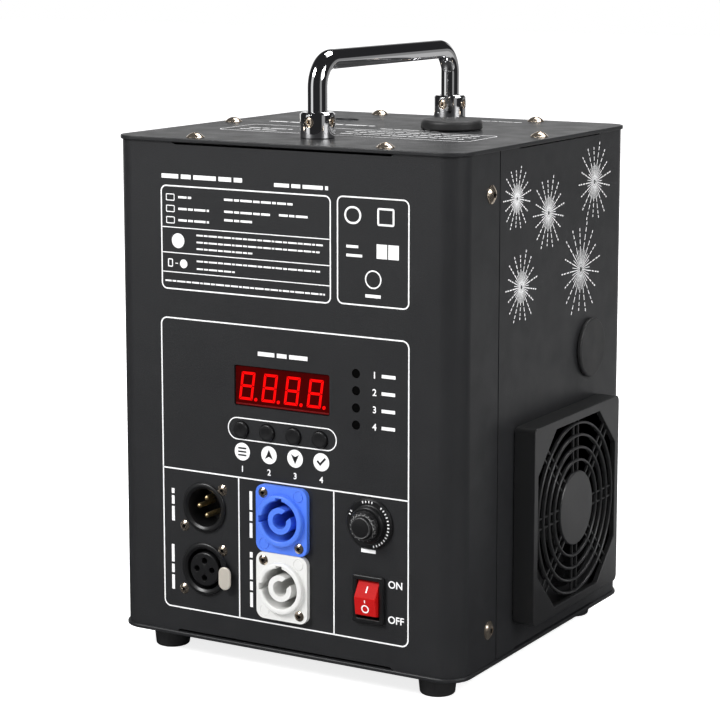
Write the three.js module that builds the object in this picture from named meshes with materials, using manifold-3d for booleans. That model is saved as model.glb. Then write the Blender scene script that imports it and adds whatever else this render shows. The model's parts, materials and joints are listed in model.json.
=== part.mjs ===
// A cold spark machine: a folded steel case on four feet, with its controls in front,
// a fan on its right side, a hopper, feed auger, spark chamber and blower inside,
// and a chromed handle on top.
// Lengths are millimetres. The floor is z = 0, the control panel faces -Y and the fan faces +X.
import * as THREE from "three";
import { mergeVertices } from "three/addons/utils/BufferGeometryUtils.js";
import Module from "manifold-3d";

// Shared sizes
const EASE = 0.3; // gap between a piece and what it sits in
const OVERRUN = 1; // how far a cutting body passes the face that it cuts
const WELD = 0.001; // vertices nearer than this are one vertex
const LARGE_SIDES = 24;
const MEDIUM_SIDES = 16;
const SMALL_SIDES = 8;
const CORNER_STEPS = 3;
const VENT_STEPS = 1; // steps of each corner of a vent slot
const BAR_STEPS = 6; // steps of each half of the handle bar's section

// Case
const CASE_WIDTH = 180;
const CASE_DEPTH = 172;
const CASE_HEIGHT = 232;
const CASE_CORNER = 10.5;
const WALL = 1.2;
const PLATE = 1.8;
const OVERHANG = 1;
const SEAM_SETBACK = 36;
const SEAM_GAP = 0.4;
const TONGUE = 15; // how far the rear shell's tongue reaches behind the front shell's wing
const JOGGLE = 5;
const FLANGE = 13; // depth of the folded flanges that the plates are screwed to
const NOTCH = 1.1; // how far a fold lies below the shell's edge
const NOTCH_SLOPE = 2;
const FRONT_NOTCH_HALF = 56;
const SIDE_NOTCH_HALF = 41;
const SIDE_NOTCH_Y = 11;

// Feet
const FOOT_HEIGHT = 10.5;
const FOOT_TOP_RADIUS = 9;
const FOOT_BASE_RADIUS = 8;
const FOOT_ROUND = 1.5;
const FOOT_STUD_RADIUS = 2;
const FOOT_STUD_RISE = 6;
const FOOT_INSET_X = 18.5; // from the case's side to the foot's middle
const FOOT_INSET_Y = 16;

// Screws of the top plate
const SCREW_HEAD_RADIUS = 4.2;
const SCREW_HEAD_RISE = 2.3;
const SCREW_SHANK_RADIUS = 1.9;
const SCREW_LENGTH = 8;
const SCREW_INSET = 7;
const FRONT_SCREW_X = 49.5;
const BACK_SCREW_X = 44;
const SIDE_SCREW_Y = 3;

// Handle
const BAR_RADIUS = 4.6;
const HANDLE_RISE = 39.5; // top of the bar above the top plate
const HANDLE_FRONT_INSET = 32; // from the case's front to the bar's middle
const HANDLE_BACK_INSET = 14; // from the case's back
const HANDLE_BEND = 12;
const HANDLE_STEPS = 28;
const COLLAR_RADIUS = 8;
const COLLAR_HEIGHT = 11.8;
const COLLAR_CHAMFER = 0.6;
const SET_SCREW_RADIUS = 1.5;
const SET_SCREW_RISE = 8;

// Filler plug and hopper
const FILLER_X = 31;
const FILLER_Y = 16;
const FILLER_PLUG_RADIUS = 14.5;
const FILLER_PLUG_RISE = 4.6;
const FILLER_PLUG_ROUND = 1.6;
const FILLER_STEM = 11;
const NECK_BORE = 11.5;
const HOPPER_WALL = 1.5;
const HOPPER_RADIUS = 33;
const HOPPER_SHOULDER = 8; // straight neck between the lid and the top plate
const HOPPER_FOOT_RISE = 22.2; // foot of the cone above the feed auger's axis
const HOPPER_CONE = 28;
const HOPPER_SPOUT = 5; // straight spout below the cone, in the feed tube's socket

// Spark outlet and chamber
const NOZZLE_X = -45;
const NOZZLE_Y = 38;
const NOZZLE_RADIUS = 10.7;
const NOZZLE_BORE = 8;
const NOZZLE_RECESS = 0.8; // how far the nozzle's rim lies below the plate's face
const NOZZLE_FLANGE_RADIUS = 18;
const NOZZLE_FLANGE = 3;
const NOZZLE_STEM = 14;
const CHAMBER_RADIUS = 14;
const CHAMBER_FLANGE_RADIUS = 19;
const CHAMBER_FLANGE = 3;
const JACKET_RADIUS = 22;
const JACKET_CLEARANCE = 3;

// Feed auger, gears and motor, laid along the line from the hopper to the chamber
const SHELF_RISE_SHARE = 0.4569; // height of the chassis shelf's underside in the case
const SHELF_SHEET = 1.5;
const SHELF_LIP = 12;
const SHELF_FRONT_Y = -44;
const SHELF_RIGHT_X = 58;
const AUGER_RISE = 40; // auger axis above the shelf's underside
const AUGER_RADIUS = 7.3;
const AUGER_PITCH = 14;
const AUGER_BLADE = 1.6;
const AUGER_SHAFT_RADIUS = 3;
const AUGER_STEPS_PER_TURN = 12;
const FEED_BORE = 8.2;
const FEED_TUBE_RADIUS = 10.4;
const FEED_TUBE_BEHIND = 18;
const BUSH_LENGTH = 5;
const BRACKET_SHEET = 2;
const BRACKET_HALF = 16;
const BRACKET_FOOT = 30;
const BRACKET_ABOVE_AXIS = 13;
const GEAR_MODULE = 1.5;
const DRIVE_TEETH = 24;
const PINION_TEETH = 8;
const GEAR_WIDTH = 6;
const GEAR_GAP = 3;
const TOOTH_HEAD_SHARE = 0.8;
const TOOTH_FOOT_SHARE = 1.15;
const TOOTH_ROOT_WIDTH_SHARE = 0.52;
const TOOTH_TIP_WIDTH_SHARE = 0.26;
const PINION_SHAFT_RADIUS = 2;
const PINION_SHAFT_REACH = 6;
const MOTOR_RADIUS = 12;
const GEARBOX_LENGTH = 19;
const MOTOR_LENGTH = 46;
const MOTOR_STEP = 1.4;

// Blower
const BLOWER_RADIUS = 34;
const BLOWER_DEPTH = 28;
const BLOWER_WALL = 1.6;
const BLOWER_CENTRE_RISE = 41; // above the bottom plate's underside
const BLOWER_OUTLET_HALF = 11;
const BLOWER_INLET_RADIUS = 17;
const BLOWER_FOOT_HALF = 20;
const BLOWER_PIN_RADIUS = 2;
const BLOWER_BOSS_RADIUS = 6;
const IMPELLER_RADIUS = 26;
const IMPELLER_BLADES = 14;
const IMPELLER_BLADE = 1.4;
const IMPELLER_BLADE_REACH = 9;
const IMPELLER_HUB_RADIUS = 9;
const IMPELLER_DISC = 1.6;
const DUCT_RADIUS = 12;
const DUCT_WALL = 1.6;
const DUCT_FLANGE_RADIUS = 18;
const DUCT_FLANGE = 2.5;

// Cooling fan and its cover
const FAN_Y = 11.6;
const FAN_RISE = 59.5; // fan axis above the bottom plate's underside
const FAN_SIZE = 80;
const FAN_DEPTH = 25;
const FAN_CORNER = 5;
const FAN_RIM = 2; // least width of the frame round its bore
const FAN_HUB_RADIUS = 17.5;
const FAN_BASE = 2.5;
const FAN_STRUTS = 4;
const FAN_STRUT = 4;
const ROTOR_CLEARANCE = 1.5;
const FAN_BLADES = 7;
const FAN_BLADE = 1.8;
const FAN_BLADE_CHORD = 20;
const FAN_BLADE_TILT = 38; // degrees
const FAN_PIN_RADIUS = 2;
const COVER_BORDER = 5.6; // how far the cover reaches past the fan's frame
const COVER_DEPTH = 10.7;
const COVER_CORNER = 3;
const COVER_WALL = 2.4;
const COVER_FACE = 2.6;
const COVER_RIM = 4; // least width of the cover's face round its opening
const COVER_OPENING_CUT_SHARE = 0.56; // straight part of each side of the octagonal opening
const GRILLE_DEPTH = 1.8;
const GRILLE_RECESS = 1.6;
const GRILLE_BAR = 1.5;
const GRILLE_RINGS = 4;
const GRILLE_SPOKES = 8;
const SPOKE_SPREAD = 2.6; // from the middle of one bar of a double spoke to the other
const GUARD_DEPTH = 5;

// Side plug
const SIDE_PLUG_Y = 45;
const SIDE_PLUG_RISE = 129.2;
const SIDE_PLUG_RADIUS = 14;
const SIDE_PLUG_FACE = 2;
const SIDE_PLUG_STEM_RADIUS = 10.7;
const SIDE_PLUG_STEM = 6;

// Vents
const VENT_LENGTH = 46;
const VENT_HEIGHT = 3;
const VENT_PITCH = 8;
const VENT_COUNT = 7;
const VENT_RISE = 52;

// Display, buttons and indicators
const WINDOW_X = 0.2;
const WINDOW_RISE = 121.9;
const WINDOW_WIDTH = 49.6;
const WINDOW_HEIGHT = 18;
const WINDOW_CORNER = 1;
const WINDOW_LIP = 2;
const WINDOW_DEPTH = 3;
const BUTTON_X = -21.2;
const BUTTON_PITCH = 13.87;
const BUTTON_RISE = 101.9;
const BUTTON_RADIUS = 3.85;
const BUTTON_PROUD = 1.7;
const BUTTON_ROUND = 0.5;
const BUTTON_COLLAR = 5.2;
const BUTTON_COLLAR_DEPTH = 1.2;
const BUTTON_STEM = 1.7;
const BUTTON_TRAVEL = 0.8;
const BUTTON_COUNT = 4;
const LIGHT_X = 38.8;
const LIGHT_TOP_RISE = 133.2;
const LIGHT_PITCH = 7.67;
const LIGHT_RADIUS = 2.1;
const LIGHT_RECESS = 0.6;
const BOARD_SETBACK = 14;
const BOARD_SHEET = 1.6;
const BOARD_LEFT_X = -37;
const BOARD_RIGHT_X = 47;
const BOARD_LOW_RISE = 94;
const BOARD_HIGH_RISE = 144;
const BOARD_POST_RADIUS = 2.5;
const BOARD_POST_INSET = 5;
const TACT_SWITCH = 6;
const TACT_SWITCH_DEPTH = 4;

// Data sockets
const DATA_X = -41.6;
const DATA_IN_RISE = 63;
const DATA_OUT_RISE = 33.9;
const DATA_RING_RADIUS = 11.6;
const DATA_RING_PROUD = 1.3;
const DATA_BARREL_RADIUS = 10.4;
const DATA_BARREL_DEPTH = 23;
const DATA_FLANGE_WIDTH = 27;
const DATA_FLANGE_HEIGHT = 26;
const DATA_FLANGE = 2;
const DATA_IN_BORE = 8.9;
const DATA_OUT_BORE = 9.6;
const DATA_BORE_DEPTH = 15;
const PIN_RADIUS = 1.2;
const PIN_LENGTH = 11;
const PIN_CIRCLE = 4.1;
const INSERT_RADIUS = 7.7;
const INSERT_RECESS = 0.8;
const SOCKET_HOLE_RADIUS = 1.4;
const SOCKET_HOLE_DEPTH = 6;
const TAB_X_OFFSET = 12.6;
const TAB_DROP = 2;
const TAB_WIDTH = 6.6;
const TAB_HEIGHT = 11;
const TAB_SHEET = 1.2;
const TAB_PROUD = 3.6;
const TAB_STEM_RADIUS = 0.9;
const TAB_STEM_HOLE = 1.3;
const TAB_STEM = 7;

// Power sockets
const POWER_X = 1;
const POWER_IN_RISE = 63.1;
const POWER_OUT_RISE = 31.9;
const POWER_FLANGE_WIDTH = 26.3;
const POWER_FLANGE_HEIGHT = 31;
const POWER_FLANGE_CORNER = 4;
const POWER_FLANGE = 2.5;
const POWER_RING_RADIUS = 11.9;
const POWER_RING_PROUD = 1.6;
const POWER_BORE = 9.3;
const POWER_BORE_DEPTH = 17;
const POWER_BARREL_RADIUS = 11.6;
const POWER_BARREL_DEPTH = 22;
const POWER_CORE_RADIUS = 6.1;
const POWER_CORE_BORE = 3.6;
const POWER_CORE_RECESS = 1.6;
const POWER_KEY = 3.2;
const POWER_KEY_REACH = 1.3;

// Fuse holder
const FUSE_X = 46.1;
const FUSE_RISE = 66.8;
const FUSE_FLANGE_RADIUS = 11.6;
const FUSE_FLANGE = 1.6;
const FUSE_BOSS_RADIUS = 8.2;
const FUSE_BOSS_PROUD = 4;
const FUSE_BARREL_RADIUS = 7;
const FUSE_BARREL_DEPTH = 34;
const FUSE_BORE = 5.4;
const FUSE_CAP_RADIUS = 6.8;
const FUSE_CAP_STEP = 3;
const FUSE_KNOB_RADIUS = 5;
const FUSE_CAP_PROUD = 9;
const FUSE_CAP_STEM = 10;
const FUSE_CAP_STEM_RADIUS = 5.1;
const FUSE_RADIUS = 2.6;
const FUSE_LENGTH = 20;
const FUSE_CLIP_DEPTH = 6;

// Rocker switch
const SWITCH_X = 45.8;
const SWITCH_RISE = 32.5;
const BEZEL_WIDTH = 15.8;
const BEZEL_HEIGHT = 21.6;
const BEZEL_CORNER = 1;
const BEZEL_PROUD = 2;
const SWITCH_BODY_WIDTH = 14;
const SWITCH_BODY_HEIGHT = 19.6;
const SWITCH_BODY_DEPTH = 14;
const SWITCH_OPENING_HEIGHT = 17.4;
const SWITCH_OPENING_DEPTH = 9;
const ROCKER_WIDTH = 10.8;
const ROCKER_HALF = 7.7;
const ROCKER_RIDGE = 6.5; // ridge from the pivot
const ROCKER_FALL = 2.8; // how far each end lies behind the ridge
const ROCKER_BACK = 3;
const ROCKER_BACK_HALF = 5.5;
const ROCKER_PIVOT_DEPTH = 1.7;
const ROCKER_TILT = 12; // degrees
const ROCKER_PIN_RADIUS = 1.2;

// Power board and heatsink
const POWER_BOARD_INSET = 14; // from the case's left side
const POWER_BOARD_GAP = 3; // between the board and the heatsink
const POWER_BOARD_FRONT_Y = -50;
const POWER_BOARD_BACK_Y = 14;
const POWER_BOARD_RISE = 6;
const TRANSFORMER_WIDTH = 34;
const TRANSFORMER_DEPTH = 28;
const TRANSFORMER_HEIGHT = 26;
const CAPACITOR_RADIUS = 8;
const CAPACITOR_HEIGHT = 24;
const HEATSINK_SETBACK = 56; // from the case's right side to the heatsink's far side
const HEATSINK_WIDTH = 22;
const HEATSINK_BASE = 4;
const HEATSINK_FINS = 5;
const HEATSINK_FIN = 1.6;
const HEATSINK_HEIGHT = 34;

// Places worked out from the sizes
const rightX = CASE_WIDTH / 2;
const frontY = -CASE_DEPTH / 2;
const backY = CASE_DEPTH / 2;
const baseZ = FOOT_HEIGHT;
const topZ = baseZ + CASE_HEIGHT;
const floorZ = baseZ + PLATE; // upper face of the bottom plate
const ceilingZ = topZ - PLATE; // underside of the top plate
const innerX = rightX - WALL;
const panelY = frontY + WALL; // inner face of the control panel
const seamY = frontY + SEAM_SETBACK;
const handleFrontY = frontY + HANDLE_FRONT_INSET;
const handleBackY = backY - HANDLE_BACK_INSET;
const shelfZ = baseZ + CASE_HEIGHT * SHELF_RISE_SHARE;
const shelfTopZ = shelfZ + SHELF_SHEET;
const feedZ = shelfZ + AUGER_RISE;
const motorZ = feedZ - (GEAR_MODULE * (DRIVE_TEETH + PINION_TEETH)) / 2;
const feedLength = Math.hypot(NOZZLE_X - FILLER_X, NOZZLE_Y - FILLER_Y);
const feedTurn = Math.atan2(NOZZLE_Y - FILLER_Y, NOZZLE_X - FILLER_X);
const fanZ = baseZ + FAN_RISE;
const fanBore = FAN_SIZE / 2 - FAN_RIM;
const coverSize = FAN_SIZE + 2 * COVER_BORDER;
const coverOpening = coverSize / 2 - COVER_RIM;
const hopperFootZ = feedZ + HOPPER_FOOT_RISE;
const hopperLidZ = ceilingZ - HOPPER_SHOULDER - HOPPER_WALL;
const heatsinkX = rightX - HEATSINK_SETBACK;
const powerBoardLeft = POWER_BOARD_INSET - rightX;
const powerBoardRight = heatsinkX - POWER_BOARD_GAP;
const footX = rightX - FOOT_INSET_X;
const footY = backY - FOOT_INSET_Y;
const blowerX = NOZZLE_X + BLOWER_RADIUS - BLOWER_WALL - BLOWER_OUTLET_HALF;
const blowerZ = baseZ + BLOWER_CENTRE_RISE;

const wasm = await Module();
wasm.setup();

// Finishes

function finish(color, roughness, metalness) {
  return new THREE.MeshStandardMaterial({ color, roughness, metalness });
}

const paint = finish(0x37383a, 0.55, 0.3);
const blackPlastic = finish(0x1c1c1d, 0.5, 0);
const rubber = finish(0x202022, 0.8, 0);
const chrome = finish(0xd8dadc, 0.1, 1);
const nickel = finish(0xb9a993, 0.3, 1);
const steel = finish(0xb4b6b8, 0.35, 1);
const aluminium = finish(0xc4c6c8, 0.4, 1);
const gold = finish(0xd8b25a, 0.3, 1);
const blue = finish(0x3f6fe8, 0.4, 0);
const white = finish(0xe9e9e7, 0.4, 0);
const red = finish(0xc01c1c, 0.35, 0);
const redLens = finish(0x5a0c0e, 0.2, 0);
const boardGreen = finish(0x1d5a38, 0.6, 0);
const ceramic = finish(0xdedad0, 0.8, 0);
const glass = finish(0xdfe8ea, 0.1, 0);

// Joining and cutting closed shapes

function solidOf(geometry) {
  const bare = geometry.clone();
  bare.deleteAttribute("normal");
  bare.deleteAttribute("uv");
  const merged = mergeVertices(bare, WELD);
  return new wasm.Manifold(
    new wasm.Mesh({
      numProp: 3,
      vertProperties: new Float32Array(merged.attributes.position.array),
      triVerts: new Uint32Array(merged.index.array),
    }),
  );
}

function geometryOf(solid) {
  const mesh = solid.getMesh();
  const geometry = new THREE.BufferGeometry();
  geometry.setAttribute("position", new THREE.BufferAttribute(mesh.vertProperties, 3));
  geometry.setIndex(new THREE.BufferAttribute(mesh.triVerts, 1));
  geometry.computeVertexNormals();
  return geometry;
}

function join(...pieces) {
  return geometryOf(pieces.map(solidOf).reduce((whole, piece) => whole.add(piece)));
}

function cut(base, ...tools) {
  return geometryOf(tools.map(solidOf).reduce((rest, tool) => rest.subtract(tool), solidOf(base)));
}

// Basic shapes

function block(low, high) {
  const size = high.map((value, i) => value - low[i]);
  const middle = high.map((value, i) => (value + low[i]) / 2);
  return new THREE.BoxGeometry(...size).translate(...middle);
}

// Bases that turn a shape drawn flat, and extruded along +Z, to face up, front or side.
const FACINGS = {
  up: [new THREE.Vector3(1, 0, 0), new THREE.Vector3(0, 1, 0), new THREE.Vector3(0, 0, 1)],
  front: [new THREE.Vector3(1, 0, 0), new THREE.Vector3(0, 0, 1), new THREE.Vector3(0, -1, 0)],
  side: [new THREE.Vector3(0, 1, 0), new THREE.Vector3(0, 0, 1), new THREE.Vector3(1, 0, 0)],
};

// A flat outline made into a slab: low and high are z for "up", y for "front" and x for "side".
function slab(facing, outline, low, high, steps = CORNER_STEPS) {
  const options = { depth: high - low, bevelEnabled: false, curveSegments: steps };
  const turn = new THREE.Matrix4().makeBasis(...FACINGS[facing]);
  const start = facing === "front" ? -high : low;
  return new THREE.ExtrudeGeometry(outline, options).translate(0, 0, start).applyMatrix4(turn);
}

function roundedOutline(x, y, width, height, radius) {
  const right = x + width / 2 - radius;
  const left = x - width / 2 + radius;
  const top = y + height / 2 - radius;
  const bottom = y - height / 2 + radius;
  const outline = new THREE.Shape();
  outline.absarc(right, top, radius, 0, Math.PI / 2);
  outline.absarc(left, top, radius, Math.PI / 2, Math.PI);
  outline.absarc(left, bottom, radius, Math.PI, Math.PI * 1.5);
  outline.absarc(right, bottom, radius, Math.PI * 1.5, Math.PI * 2);
  return outline;
}

function polygon(points) {
  return new THREE.Shape(points.map(([x, y]) => new THREE.Vector2(x, y)));
}

function shoelace(profile) {
  return profile.reduce((sum, [r, along], i) => {
    const [nextR, nextAlong] = profile[(i + 1) % profile.length];
    return sum + r * nextAlong - nextR * along;
  }, 0);
}

// A turned piece. Its profile lists [radius, place along the axis].
// The other two coordinates are its centre's.
function turned(axis, profile, centre = [0, 0, 0], sides = MEDIUM_SIDES) {
  const ordered = shoelace(profile) > 0 ? profile : [...profile].reverse();
  const geometry = new THREE.LatheGeometry(
    ordered.map(([r, along]) => new THREE.Vector2(r, along)),
    sides,
  );
  if (axis === "z") geometry.rotateX(Math.PI / 2);
  if (axis === "x") geometry.rotateZ(-Math.PI / 2);
  return geometry.translate(...centre);
}

function rod(axis, radius, low, high, centre = [0, 0, 0], sides = MEDIUM_SIDES) {
  const profile = [[0, low], [radius, low], [radius, high], [0, high]];
  return turned(axis, profile, centre, sides);
}

function sleeve(axis, outer, inner, low, high, centre = [0, 0, 0], sides = MEDIUM_SIDES) {
  const profile = [[inner, low], [outer, low], [outer, high], [inner, high], [inner, low]];
  return turned(axis, profile, centre, sides);
}

// Copies of one shape, turned in even steps round an axis through the origin.
function around(count, axis, make) {
  return Array.from({ length: count }, (_, i) => {
    const turn = new THREE.Matrix4().makeRotationAxis(axis, (i * 2 * Math.PI) / count);
    return make().applyMatrix4(turn);
  });
}

// Naming and grouping

const machine = new THREE.Group();

function add(name, geometry, material, group = machine) {
  const mesh = new THREE.Mesh(geometry, material);
  mesh.name = name;
  group.add(mesh);
  return mesh;
}

// Case

function caseWall() {
  const outer = roundedOutline(0, 0, CASE_WIDTH, CASE_DEPTH, CASE_CORNER);
  const inner = roundedOutline(0, 0, CASE_WIDTH - 2 * WALL, CASE_DEPTH - 2 * WALL, CASE_CORNER - WALL);
  return cut(
    slab("up", outer, floorZ, ceilingZ),
    slab("up", inner, floorZ - OVERRUN, ceilingZ + OVERRUN),
  );
}

// The place where a folded flange leaves the shell's edge, a little below it, with sloped ends.
function notchOutline(centre, half, edge, inward) {
  return polygon([
    [centre - half - NOTCH_SLOPE, edge - inward * OVERRUN],
    [centre - half - NOTCH_SLOPE, edge],
    [centre - half, edge + inward * NOTCH],
    [centre + half, edge + inward * NOTCH],
    [centre + half + NOTCH_SLOPE, edge],
    [centre + half + NOTCH_SLOPE, edge - inward * OVERRUN],
  ]);
}

const EDGES = [
  { edge: floorZ, inward: 1 },
  { edge: ceilingZ, inward: -1 },
];

function flangeHeights({ edge, inward }) {
  const outside = edge + inward * NOTCH;
  const inside = outside + inward * WALL;
  return [Math.min(outside, inside), Math.max(outside, inside)];
}

function frontFlanges(y, outward) {
  return EDGES.map((edge) => {
    const [low, high] = flangeHeights(edge);
    const wallY = y - (outward * WALL) / 2;
    const lipY = y - outward * FLANGE;
    return block(
      [-FRONT_NOTCH_HALF, Math.min(wallY, lipY), low],
      [FRONT_NOTCH_HALF, Math.max(wallY, lipY), high],
    );
  });
}

function frontNotches(y) {
  return EDGES.map(({ edge, inward }) => {
    const outline = notchOutline(0, FRONT_NOTCH_HALF, edge, inward);
    return slab("front", outline, y - WALL - OVERRUN, y + WALL + OVERRUN);
  });
}

function sideFlanges(side) {
  return EDGES.map((edge) => {
    const [low, high] = flangeHeights(edge);
    const start = SIDE_NOTCH_Y - SIDE_NOTCH_HALF;
    const end = SIDE_NOTCH_Y + SIDE_NOTCH_HALF;
    return sideBlock(side, rightX - FLANGE, rightX - WALL / 2, start, end, low, high);
  });
}

function sideNotches(side) {
  return EDGES.map(({ edge, inward }) => {
    const outline = notchOutline(SIDE_NOTCH_Y, SIDE_NOTCH_HALF, edge, inward);
    const x = side * rightX;
    return slab("side", outline, x - WALL - OVERRUN, x + WALL + OVERRUN);
  });
}

// Places of the top plate's six screws
const topScrews = [
  [-FRONT_SCREW_X, frontY + SCREW_INSET],
  [FRONT_SCREW_X, frontY + SCREW_INSET],
  [-BACK_SCREW_X, backY - SCREW_INSET],
  [BACK_SCREW_X, backY - SCREW_INSET],
  [-rightX + SCREW_INSET, SIDE_SCREW_Y],
  [rightX - SCREW_INSET, SIDE_SCREW_Y],
];

function screwHoles() {
  const low = topZ - SCREW_LENGTH - OVERRUN;
  const high = topZ + OVERRUN;
  return topScrews.map(([x, y]) => rod("z", SCREW_SHANK_RADIUS + EASE, low, high, [x, y, 0], SMALL_SIDES));
}

function panelHole(x, rise, radius, sides = MEDIUM_SIDES) {
  return rod("y", radius, frontY - OVERRUN, panelY + OVERRUN, [x, 0, baseZ + rise], sides);
}

function buttonX(i) {
  return BUTTON_X + i * BUTTON_PITCH;
}

function lightZ(i) {
  return baseZ + LIGHT_TOP_RISE - i * LIGHT_PITCH;
}

function tabPlace() {
  return [DATA_X + TAB_X_OFFSET, 0, baseZ + DATA_OUT_RISE - TAB_DROP];
}

function frontShell() {
  const wing = block(
    [-rightX - OVERRUN, seamY, floorZ - OVERRUN],
    [rightX + OVERRUN, backY + OVERRUN, ceilingZ + OVERRUN],
  );
  const window = roundedOutline(
    WINDOW_X,
    baseZ + WINDOW_RISE,
    WINDOW_WIDTH + 2 * EASE,
    WINDOW_HEIGHT + 2 * EASE,
    WINDOW_CORNER,
  );
  const switchHole = roundedOutline(
    SWITCH_X,
    baseZ + SWITCH_RISE,
    SWITCH_BODY_WIDTH + 2 * EASE,
    SWITCH_BODY_HEIGHT + 2 * EASE,
    BEZEL_CORNER,
  );
  const buttonHoles = Array.from({ length: BUTTON_COUNT }, (_, i) =>
    panelHole(buttonX(i), BUTTON_RISE, BUTTON_RADIUS + EASE),
  );
  const lightHoles = Array.from({ length: BUTTON_COUNT }, (_, i) =>
    panelHole(LIGHT_X, lightZ(i) - baseZ, LIGHT_RADIUS, SMALL_SIDES),
  );
  const bare = join(cut(caseWall(), wing), ...frontFlanges(frontY, -1));
  return cut(
    bare,
    ...frontNotches(frontY),
    slab("front", window, frontY - OVERRUN, panelY + OVERRUN),
    slab("front", switchHole, frontY - OVERRUN, panelY + OVERRUN),
    ...buttonHoles,
    ...lightHoles,
    panelHole(DATA_X, DATA_IN_RISE, DATA_BARREL_RADIUS + EASE),
    panelHole(DATA_X, DATA_OUT_RISE, DATA_BARREL_RADIUS + EASE),
    panelHole(DATA_X + TAB_X_OFFSET, DATA_OUT_RISE - TAB_DROP, TAB_STEM_HOLE, SMALL_SIDES),
    panelHole(POWER_X, POWER_IN_RISE, POWER_BARREL_RADIUS + EASE),
    panelHole(POWER_X, POWER_OUT_RISE, POWER_BARREL_RADIUS + EASE),
    panelHole(FUSE_X, FUSE_RISE, FUSE_BARREL_RADIUS + EASE),
    ...screwHoles(),
  );
}

// A block between two distances from the middle plane, on the right (side 1) or the left (side -1).
function sideBlock(side, near, far, lowY, highY, lowZ, highZ) {
  const xs = [side * near, side * far].sort((a, b) => a - b);
  return block([xs[0], lowY, lowZ], [xs[1], highY, highZ]);
}

// The strip of the rear shell that lies behind the front shell's wing, set in by a joggle.
function tongue(side) {
  const outer = innerX - EASE;
  const inner = outer - WALL;
  const low = floorZ + FLANGE;
  const high = ceilingZ - FLANGE;
  return join(
    sideBlock(side, inner, outer, seamY - TONGUE, seamY + JOGGLE, low, high),
    sideBlock(side, inner, rightX - WALL / 2, seamY + SEAM_GAP, seamY + JOGGLE, low, high),
  );
}

function ventSlots(facing, centre, wall) {
  return Array.from({ length: VENT_COUNT }, (_, i) => {
    const z = baseZ + VENT_RISE + (i - (VENT_COUNT - 1) / 2) * VENT_PITCH;
    const outline = roundedOutline(centre, z, VENT_LENGTH, VENT_HEIGHT, VENT_HEIGHT / 2);
    return slab(facing, outline, wall - WALL - OVERRUN, wall + WALL + OVERRUN, VENT_STEPS);
  });
}

function rearShell() {
  const frontHalf = block(
    [-rightX - OVERRUN, frontY - OVERRUN, floorZ - OVERRUN],
    [rightX + OVERRUN, seamY + SEAM_GAP, ceilingZ + OVERRUN],
  );
  const fanHole = rod("x", fanBore, innerX - OVERRUN, rightX + OVERRUN, [0, FAN_Y, fanZ], LARGE_SIDES);
  const plugPlace = [0, SIDE_PLUG_Y, baseZ + SIDE_PLUG_RISE];
  const plugHole = rod("x", SIDE_PLUG_STEM_RADIUS + EASE, innerX - OVERRUN, rightX + OVERRUN, plugPlace);
  const bare = join(
    cut(caseWall(), frontHalf),
    ...frontFlanges(backY, 1),
    ...sideFlanges(1),
    ...sideFlanges(-1),
    tongue(1),
    tongue(-1),
  );
  return cut(
    bare,
    ...frontNotches(backY),
    ...sideNotches(1),
    ...sideNotches(-1),
    fanHole,
    plugHole,
    ...ventSlots("side", NOZZLE_Y, -rightX),
    ...ventSlots("front", 0, backY),
    ...screwHoles(),
  );
}

function plateOutline() {
  const grown = 2 * OVERHANG;
  return roundedOutline(0, 0, CASE_WIDTH + grown, CASE_DEPTH + grown, CASE_CORNER + OVERHANG);
}

function topPlate() {
  const low = ceilingZ - OVERRUN;
  const high = topZ + OVERRUN;
  return cut(
    slab("up", plateOutline(), ceilingZ, topZ),
    rod("z", NECK_BORE + HOPPER_WALL + EASE, low, high, [FILLER_X, FILLER_Y, 0]),
    rod("z", NOZZLE_RADIUS + EASE, low, high, [NOZZLE_X, NOZZLE_Y, 0]),
    ...screwHoles(),
  );
}

const footPlaces = {
  foot_front_left: [-footX, -footY, 0],
  foot_front_right: [footX, -footY, 0],
  foot_back_left: [-footX, footY, 0],
  foot_back_right: [footX, footY, 0],
};

function bottomPlate() {
  const holes = Object.values(footPlaces).map((place) =>
    rod("z", FOOT_STUD_RADIUS + EASE, baseZ - OVERRUN, floorZ + OVERRUN, place, SMALL_SIDES),
  );
  return cut(slab("up", plateOutline(), baseZ, floorZ), ...holes);
}

function foot(place) {
  const profile = [
    [0, 0],
    [FOOT_BASE_RADIUS - FOOT_ROUND, 0],
    [FOOT_BASE_RADIUS - FOOT_ROUND * (1 - Math.SQRT1_2), FOOT_ROUND * (1 - Math.SQRT1_2)],
    [FOOT_BASE_RADIUS, FOOT_ROUND],
    [FOOT_TOP_RADIUS, FOOT_HEIGHT],
    [FOOT_STUD_RADIUS, FOOT_HEIGHT],
    [FOOT_STUD_RADIUS, FOOT_HEIGHT + FOOT_STUD_RISE],
    [0, FOOT_HEIGHT + FOOT_STUD_RISE],
  ];
  return turned("z", profile, place);
}

function topScrew([x, y]) {
  const half = SCREW_HEAD_RISE / 2;
  const profile = [
    [0, topZ - SCREW_LENGTH],
    [SCREW_SHANK_RADIUS, topZ - SCREW_LENGTH],
    [SCREW_SHANK_RADIUS, topZ],
    [SCREW_HEAD_RADIUS, topZ],
    [SCREW_HEAD_RADIUS * Math.cos(Math.PI / 6), topZ + half],
    [SCREW_HEAD_RADIUS / 2, topZ + SCREW_HEAD_RISE * Math.cos(Math.PI / 8)],
    [0, topZ + SCREW_HEAD_RISE],
  ];
  return turned("z", profile, [x, y, 0], SMALL_SIDES);
}

// Handle

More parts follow.
